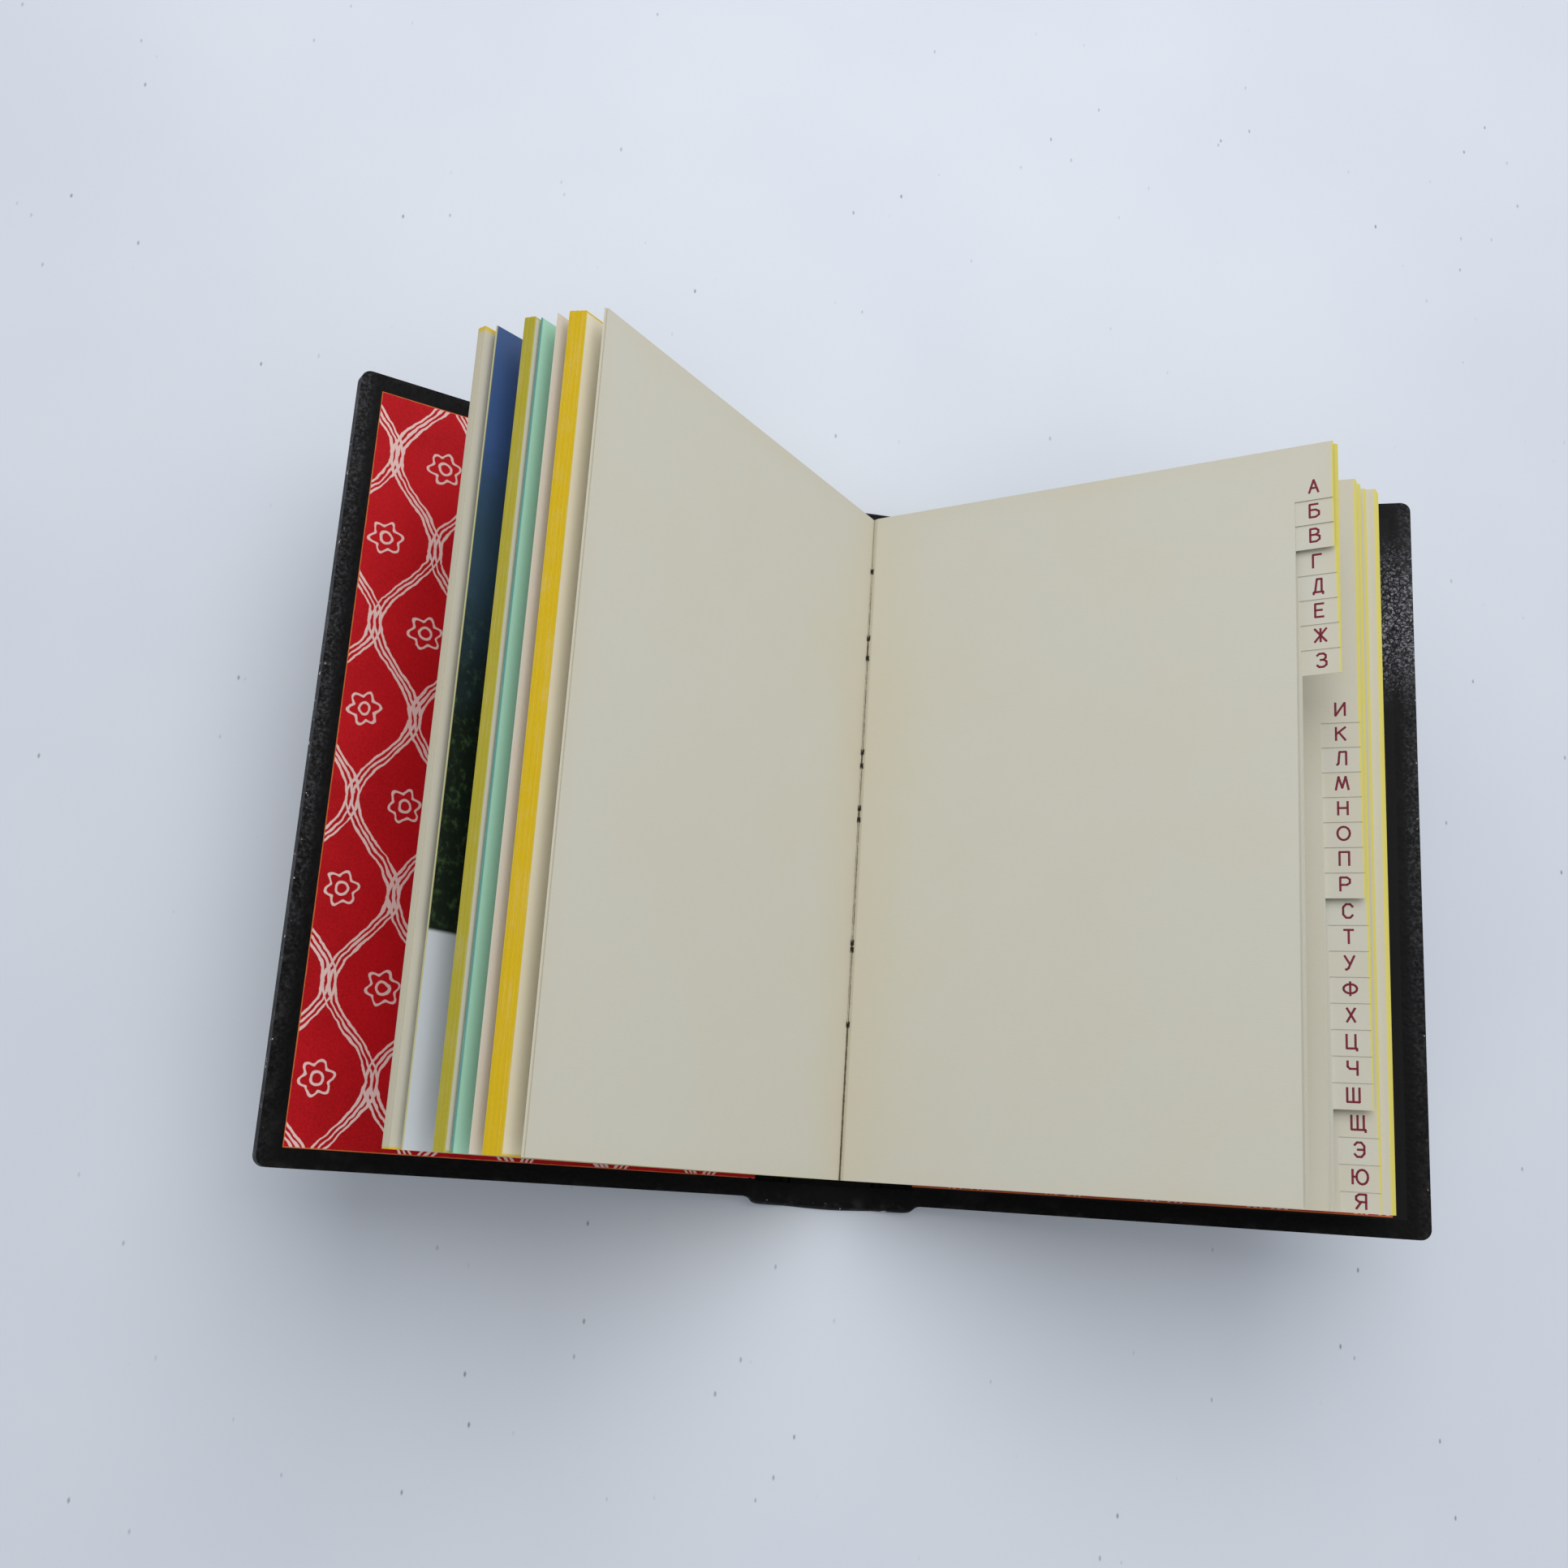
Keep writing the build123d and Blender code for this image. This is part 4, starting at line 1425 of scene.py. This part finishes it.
@dataclass
class ThumbIndex:
    """The lettered leaves on the right, with the plain leaves behind them."""

    palette: Palette
    maker: SheetMaker
    leaf: float = 0.11
    pitch: float = 0.15
    first_foot: float = 11.2
    letter_unit: float = 0.42
    letter_rise: float = 1.38
    letter_margin: float = 0.75
    pen: float = 0.205
    pen_overlap: float = 0.45
    ink_flatness: float = 0.1
    ink_lift: float = 0.004
    leaf_tone: float = 0.3
    back_sheets: int = 17
    back_fill: float = 0.8
    back_spread: float = 0.12
    back_tone: float = 0.5
    back_slant: float = 0.5
    back_trim: float = 1.3

    def foot_of(self, number: int) -> float:
        """Finds the lower edge of a leaf's tab, along the spine."""
        step = (2 * PAGE_HALF - self.first_foot) / (len(STROKES) - 1)
        return (len(STROKES) - number) * step - PAGE_HALF

    def build(self) -> None:
        """Builds each leaf, its letter and the back section, and hangs each letter on its group's body.
        """
        for group in INDEX_GROUPS:
            seat = Seat.of(group.body, group.zone)
            length = seat.length_of(f"index_leaf_{group.first:02d}", group.half)
            for place in range(group.count):
                aside = -group.half + self.leaf / 2 + place * self.pitch
                nearer = group.slant * (group.count - 1 - place)
                self.build_leaf(seat, group.first + place, aside, length - nearer)
            if group.body == "last_index":
                begin = -group.half + group.count * self.pitch
                self.build_back(seat, group, begin, seat.length_of("back_section", -begin))

    def build_leaf(self, seat: Seat, number: int, aside: float, length: float) -> None:
        """Builds one lettered leaf.

        Args:
            seat: The leaf's seat.
            number: The leaf's number, from 1.
            aside: Its place in the group.
            length: Its length from the bend line.
        """
        tone = self.leaf_tone + jitter(number, self.leaf_tone)
        leaf = self.maker.make(seat, aside, length, self.leaf, tone, self.foot_of(number))
        piece = settle(leaf, f"tabbed_leaf_{number:02d}")
        dress(piece, self.palette.material(INDEXED))
        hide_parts(f"index_leaf_{number:02d}")
        seat.bend(piece)
        self.build_letter(seat, number, aside, length)
        log.info("built %s", piece.name)

    def build_letter(self, seat: Seat, number: int, aside: float, length: float) -> None:
        """Writes one letter on its tab, in strokes of one width.

        Args:
            seat: The leaf's seat.
            number: The leaf's number, from 1.
            aside: The leaf's place in the group.
            length: Its length from the bend line.
        """
        strokes = list(STROKES.values())[number - 1]
        widest = max(point[0] for stroke in strokes for point in stroke)
        curve = new_curve(self.pen, 1)
        for stroke in strokes:
            for begin, end in zip(stroke, stroke[1:]):
                self.draw(curve, Vector(begin), Vector(end), widest / 2)
        letter = curve_piece(curve)
        bpy.ops.object.mode_set(mode="EDIT")
        bpy.ops.mesh.select_all(action="SELECT")
        bpy.ops.transform.resize(value=(1.0, 1.0, self.ink_flatness))
        bpy.ops.object.mode_set(mode="OBJECT")
        above = aside - self.leaf / 2 - self.ink_lift
        spot = seat.rest(above, length - self.maker.tab_width / 2) * MM
        height = max(self.foot_of(number) + self.letter_rise, PAGE_FOOT + self.letter_margin)
        letter.location = (spot.x, height * MM, spot.y)
        letter.rotation_euler = (0.0, seat.lean - math.pi / 2, 0.0)
        piece = settle(letter, f"index_letter_{number:02d}")
        dress(piece, self.palette.material(InkFinish()))
        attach(piece, seat.body)

    def draw(self, curve: Curve, begin: Vector, end: Vector, middle: float) -> None:
        """Draws one straight part of a letter, a little past both of its ends.

        Args:
            curve: The letter's curve.
            begin: Where the part begins, in letter units.
            end: Where it ends.
            middle: Half of the letter's width.
        """
        unit = self.letter_unit * MM
        past = (end - begin).normalized() * (self.pen_overlap * self.pen / self.letter_unit)
        line = curve.splines.new("POLY")
        line.points.add(1)
        for point, spot in zip(line.points, (begin - past, end + past)):
            point.co = ((spot.x - middle) * unit, spot.y * unit, 0.0, 1.0)

    def build_back(self, seat: Seat, group: IndexGroup, begin: float, length: float) -> None:
        """Builds the plain section and the flyleaf behind the last letters.

        Args:
            seat: Their seat.
            group: The group that they move with.
            begin: Place of the first of them in the group.
            length: Their length from the bend line.
        """
        step = (group.half - begin) / self.back_sheets
        leaves = []
        for number in range(self.back_sheets):
            aside = begin + step * (number + 0.5)
            longer = self.back_slant * number / self.back_sheets - self.back_trim
            uneven = abs(jitter(number + 5, self.back_spread))
            tone = self.back_tone + jitter(2 * number, self.back_tone)
            thickness = step * self.back_fill
            leaves.append(self.maker.make(seat, aside, length + longer - uneven, thickness, tone))
        piece = unite(leaves, "back_sheets")
        dress(piece, self.palette.material(INDEXED))
        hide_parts("back_section", "back_flyleaf")
        seat.bend(piece)
        log.info("built %s", piece.name)


@dataclass
class Sewing:
    """The folded backs of the sections and the stitches in the open gutter."""

    palette: Palette
    base: float = 2.2
    arm: float = 4.0
    wall: float = 0.16
    deepest: float = 1.0
    fold_steps: int = 8
    fold_reach: float = 0.05
    outer_tone: float = 0.6
    inner_tone: float = 0.3
    gutter: float = 0.455
    crease_wall: float = 0.06
    root_wall: float = 0.1
    root_foot: float = 3.0
    root_bend: float = 1.6
    root_end: float = 0.05
    thread_height: float = 8.18
    thread_radius: float = 0.12
    thread_end: tuple = ((-0.15, -1.3), (0.0, -0.1), (0.9, 0.04))
    thread_sag: float = 0.03
    folds: tuple = (
        (-8.0, -5.8),
        (-5.7, -3.7),
        (-3.6, -0.32),
        (-0.26, 1.32),
        (1.36, 2.06),
        (2.14, 3.32),
        (3.4, 4.58),
        (4.66, 8.0),
    )
    crease: tuple = (
        (-0.02, 8.66),
        (0.12, 8.48),
        (0.28, 8.3),
        (0.39, 8.2),
        (0.43, 8.05),
        (0.435, 7.4),
        (0.475, 7.4),
        (0.48, 8.05),
        (0.52, 8.22),
        (0.64, 8.42),
        (0.86, 8.8),
        (1.06, 9.13),
        (1.16, 9.22),
    )
    roots: tuple = (("turning_leaf", 0.135), ("second_letter", 0.97), ("first_letter", 0.76))
    stitches: tuple = ((12.0, 27.0), (31.5, 52.0), (55.0, 64.0), (66.5, 92.0), (93.5, 108.5))

    def build(self) -> None:
        """Builds the folds and the thread."""
        pieces = [self.fold(left, right) for left, right in self.folds]
        pieces += [self.root(body, x) for body, x in self.roots]
        pieces.append(self.centre_fold())
        folds = unite(pieces, "sewn_folds")
        holes = tuple(PAGE_HALF - end for stitch in self.stitches for end in stitch)
        dress(folds, self.palette.material(FoldFinish("fold_paper", self.gutter, holes)))
        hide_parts("section_folds")
        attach(folds, "spine")
        log.info("built %s", folds.name)
        thread = unite([self.stitch(high, low) for high, low in self.stitches], "gutter_stitches")
        finish = WovenFinish("linen_thread", paint(222, 216, 200), paint(150, 140, 118), (6.0, 5.0))
        dress(thread, self.palette.material(finish))
        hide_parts("sewing_thread")
        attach(thread, "spine")
        log.info("built %s", thread.name)

    def strip(self, path: list[Vector], thickness: float, tone: float) -> Object:
        """Makes one still strip of paper as high as the page.

        Args:
            path: Its line, across and up.
            thickness: Its thickness in millimetres.
            tone: How aged it is, 0 to 1.

        Returns:
            The strip.
        """
        strip = pull_strip(path, PAGE_FOOT, PAGE_HALF)
        thicken(strip, thickness)
        SheetMaker.note(strip, path, [self.fold_reach] * len(path), tone)
        return strip

    def fold(self, left: float, right: float) -> Object:
        """Bends one section's fold, open at its top.

        Args:
            left: Its left side, in millimetres.
            right: Its right side, in millimetres.

        Returns:
            The fold.
        """
        half = self.wall / 2
        middle = (left + right) / 2
        wide = (right - left) / 2 - half
        deep = min(wide, self.deepest)
        path = [Vector((middle - wide, self.arm))]
        for step in range(self.fold_steps + 1):
            angle = math.pi * step / self.fold_steps
            up = self.base + half + deep * (1 - math.sin(angle))
            path.append(Vector((middle - wide * math.cos(angle), up)))
        path.append(Vector((middle + wide, self.arm)))
        return self.strip(path, self.wall, self.outer_tone)

    def centre_fold(self) -> Object:
        """Folds the paper under the stitches, between the two open pages."""
        path = [Vector(point) for point in self.crease]
        return self.strip(path, self.crease_wall, self.inner_tone)

    def root(self, body: str, x: float) -> Object:
        """Raises the still root of a leaf that turns by hand.

        Args:
            body: The leaf's body.
            x: Where its fold stands, in millimetres.

        Returns:
            The root.
        """
        seat = Seat.of(body, 1.0)
        bend = Vector((x, seat.z - self.root_bend))
        path = [Vector((x, self.root_foot)), bend, Vector((seat.x, seat.z + self.root_end))]
        return self.strip(path, self.root_wall, self.inner_tone)

    def stitch(self, high: float, low: float) -> Object:
        """Lays one stitch that dips into its holes.

        Args:
            high: Its upper end, in millimetres below the head.
            low: Its lower end, in millimetres below the head.

        Returns:
            The stitch.
        """
        top = PAGE_HALF - high
        bottom = PAGE_HALF - low
        route = [(top - inward, up) for inward, up in self.thread_end]
        route.append(((top + bottom) / 2, -self.thread_sag))
        route += [(bottom + inward, up) for inward, up in reversed(self.thread_end)]
        curve = new_curve(self.thread_radius, 2)
        line = curve.splines.new("NURBS")
        line.points.add(len(route) - 1)
        for point, (along, up) in zip(line.points, route):
            point.co = (self.gutter * MM, along * MM, (self.thread_height + up) * MM, 1.0)
        line.order_u = 3
        line.use_endpoint_u = True
        return curve_piece(curve)


@dataclass
class Case:
    """The covers and the spine that carry the leaves."""

    palette: Palette
    back_rim: float = 2.6
    back_foot_rim: float = 0.42
    shiny_patch: float = 48.0

    def build(self) -> None:
        """Coats the case."""
        for name, turn in (("front", -1.0), ("back", 1.0)):
            lean = turn * COVER_RISE
            hinge = turn * COVER_HINGE
            # Only the back cover gets the patch of painted sheen.
            patch = self.shiny_patch if name == "back" else None
            rims = (self.back_rim, self.back_foot_rim) if name == "back" else (0.0, 0.0)
            leather = LeatherFinish(name + "_leatherette", lean, hinge, patch)
            paper = EndpaperFinish(name + "_endpaper", lean, hinge, *rims, patch)
            coat(name + "_cover_skin", self.palette.material(leather))
            coat(name + "_pastedown", self.palette.material(paper))
            board = WovenFinish("grey_board", paint(140, 136, 128), paint(108, 104, 98))
            coat(name + "_board", self.palette.material(board))
        coat("spine_skin", self.palette.material(LeatherFinish("spine_leatherette")))
        card = WovenFinish("spine_card", paint(150, 142, 128), paint(116, 108, 96))
        coat("spine_card", self.palette.material(card))
        cloth = WovenFinish("spine_cloth", paint(206, 198, 178), paint(160, 150, 128), (5.0, 5.0))
        coat("spine_lining", self.palette.material(cloth))


@dataclass
class EndCaps:
    """The leatherette turned over the head and tail of the spine and its joints.

    Each point of its line has its place across and up, for the joint measured from the hinge along
    the cover and above it, and the length by which the lip is drawn in there.
    """

    palette: Palette
    inner: float = 69.9
    lip: float = 74.35
    roll_steps: tuple = (0.2, 0.6, 1.3)
    drop: float = 1.75
    wall: float = 0.22
    flat_shrink: float = 0.35
    bend_end: Span = (3.4, 1.1)
    spine_line: tuple = (
        (0.0, 1.84, -0.3),
        (2.0, 1.84, -0.28),
        (4.0, 1.84, -0.22),
        (6.0, 1.84, -0.14),
        (7.4, 1.88, -0.07),
        (8.4, 2.0, -0.03),
    )
    joint_line: tuple = (
        (0.2, 1.28, 0.0),
        (1.6, 1.2, 0.0),
        (3.0, 1.12, 0.0),
        (4.4, 1.1, 0.0),
        (5.8, 1.16, 0.02),
        (6.6, 1.22, 0.08),
        (7.1, 1.24, 0.17),
        (7.5, 1.24, 0.32),
        (7.8, 1.22, 0.55),
        (8.1, 1.2, 0.85),
        (8.4, 1.17, 1.1),
        (8.8, 1.1, 1.28),
        (9.4, 0.95, 1.45),
    )

    def build(self) -> None:
        """Builds a cap at each end of each joint."""
        for body, side in (("front_cover", Side.LEFT), ("back_cover", Side.RIGHT)):
            for title, end in (("tail", -1), ("head", 1)):
                piece = settle(self.cap(side, end), f"{body}_{title}_cap")
                leather = LeatherFinish("spine_leatherette")
                dress(piece, self.palette.material(leather))
                across, up, _shrink = self.spine_line[-1]
                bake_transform(piece)
                log.info("built %s", piece.name)

    def joint_point(self, side: Side, away: float, above: float) -> Vector:
        """Finds a point over a cover's joint.

        Args:
            side: The cover's side.
            away: Distance from the hinge along the cover.
            above: Height over the hinge's plane.

        Returns:
            The point, across and up.
        """
        angle = math.radians(COVER_RISE)
        across = COVER_HINGE + away * math.cos(angle) - above * math.sin(angle)
        up = HINGE_HEIGHT + away * math.sin(angle) + above * math.cos(angle)
        return Vector((side.value * across, up))

    def cap(self, side: Side, end: int) -> Object:
        """Turns the leatherette over one end of one joint.

        Args:
            side: The cover's side.
            end: 1 for the head and -1 for the tail.

        Returns:
            The cap.
        """
        path = [Vector((side.value * across, up)) for across, up, _shrink in self.spine_line]
        path += [self.joint_point(side, away, above) for away, above, _shrink in self.joint_line]
        shrink = [drawn for _across, _up, drawn in self.spine_line + self.joint_line]
        roll = self.roll_steps[-1]
        low, high = sorted((end * self.inner, end * self.lip))
        cap = pull_strip(path, low, high)
        bpy.ops.object.mode_set(mode="EDIT")
        for back in self.roll_steps:
            bpy.ops.mesh.select_all(action="SELECT")
            rim = end * (self.lip - back) * MM
            bpy.ops.mesh.bisect(plane_co=(0.0, rim, 0.0), plane_no=(0.0, 1.0, 0.0))
        cage = bmesh.from_edit_mesh(cap.data)
        for vert in cage.verts:
            spot = Vector((vert.co.x, vert.co.z)) / MM
            nearest = min(range(len(path)), key=lambda place: (path[place] - spot).length_squared)
            over = max(abs(vert.co.y) / MM - self.lip + roll, 0.0) / roll
            vert.co.y -= end * shrink[nearest] * MM * (self.flat_shrink + (1 - self.flat_shrink) * over)
            vert.co.z -= (1 - math.sqrt(max(1 - over * over, 0.0))) * self.drop * MM
        bmesh.update_edit_mesh(cap.data)
        bpy.ops.object.mode_set(mode="OBJECT")
        thicken(cap, self.wall)
        return cap


@dataclass
class Studio:
    """The pale table, the soft light and the camera."""

    palette: Palette
    table_size: float = 5.0
    lamps: tuple = (("key", (0.04, 0.4, 0.76), 4.8), ("fill", (0.3, -0.4, 0.7), 0.45))
    lamp_size: float = 0.8
    lamp_aim: tuple = (0.0, 0.0, 0.04)
    room: Colour = (0.93, 0.96, 1.0, 1.0)
    room_light: float = 0.5
    place: tuple = (-0.06083, -0.07034, 0.33266)
    turn: tuple = (13.185, -8.813, 3.644)
    lens: float = 37.579
    sensor: float = 36.0

    def build(self) -> None:
        """Sets the scene."""
        self.floor()
        for name, place, power in self.lamps:
            self.lamp(name, Vector(place), power)
        self.sky()
        self.camera()
        bpy.context.scene.view_settings.view_transform = "Standard"

    def floor(self) -> None:
        """Lays the table top."""
        bpy.ops.object.select_all(action="DESELECT")
        bpy.ops.mesh.primitive_plane_add(size=self.table_size, location=(0.0, 0.0, 0.0))
        floor = settle(bpy.context.object, "table_top")
        floor.data.materials.append(self.palette.material(TableFinish()))

    def lamp(self, name: str, place: Vector, power: float) -> None:
        """Hangs a square lamp that faces the book.

        Args:
            name: The lamp's name.
            place: Where it hangs, in metres.
            power: Its power in watts.
        """
        light = bpy.data.lights.new(name, "AREA")
        light.size = self.lamp_size
        light.energy = power
        lamp = bpy.data.objects.new(name, light)
        lamp.location = place
        lamp.rotation_euler = (Vector(self.lamp_aim) - place).to_track_quat("-Z", "Y").to_euler()
        bpy.context.scene.collection.objects.link(lamp)

    def sky(self) -> None:
        """Fills the room with even light."""
        world = bpy.data.worlds.new("room")
        world.use_nodes = True
        back = world.node_tree.nodes["Background"]
        back.inputs["Color"].default_value = self.room
        back.inputs["Strength"].default_value = self.room_light
        bpy.context.scene.world = world

    def camera(self) -> None:
        """Sets the camera where the photograph was taken."""
        view = bpy.data.cameras.new("camera")
        view.lens = self.lens
        view.sensor_width = self.sensor
        camera = bpy.data.objects.new("camera", view)
        camera.location = self.place
        camera.rotation_euler = tuple(math.radians(angle) for angle in self.turn)
        bpy.context.scene.collection.objects.link(camera)
        bpy.context.scene.camera = camera


def main() -> None:
    """Builds the book in order, from the case to the light."""
    logging.basicConfig(level=logging.INFO, format="%(name)s: %(message)s")
    palette = Palette()
    maker = SheetMaker()
    Case(palette).build()
    EndCaps(palette).build()
    TextBlock(palette, maker).build()
    ThumbIndex(palette, maker).build()
    Sewing(palette).build()
    Studio(palette).build()


if __name__ == "__main__":
    main()
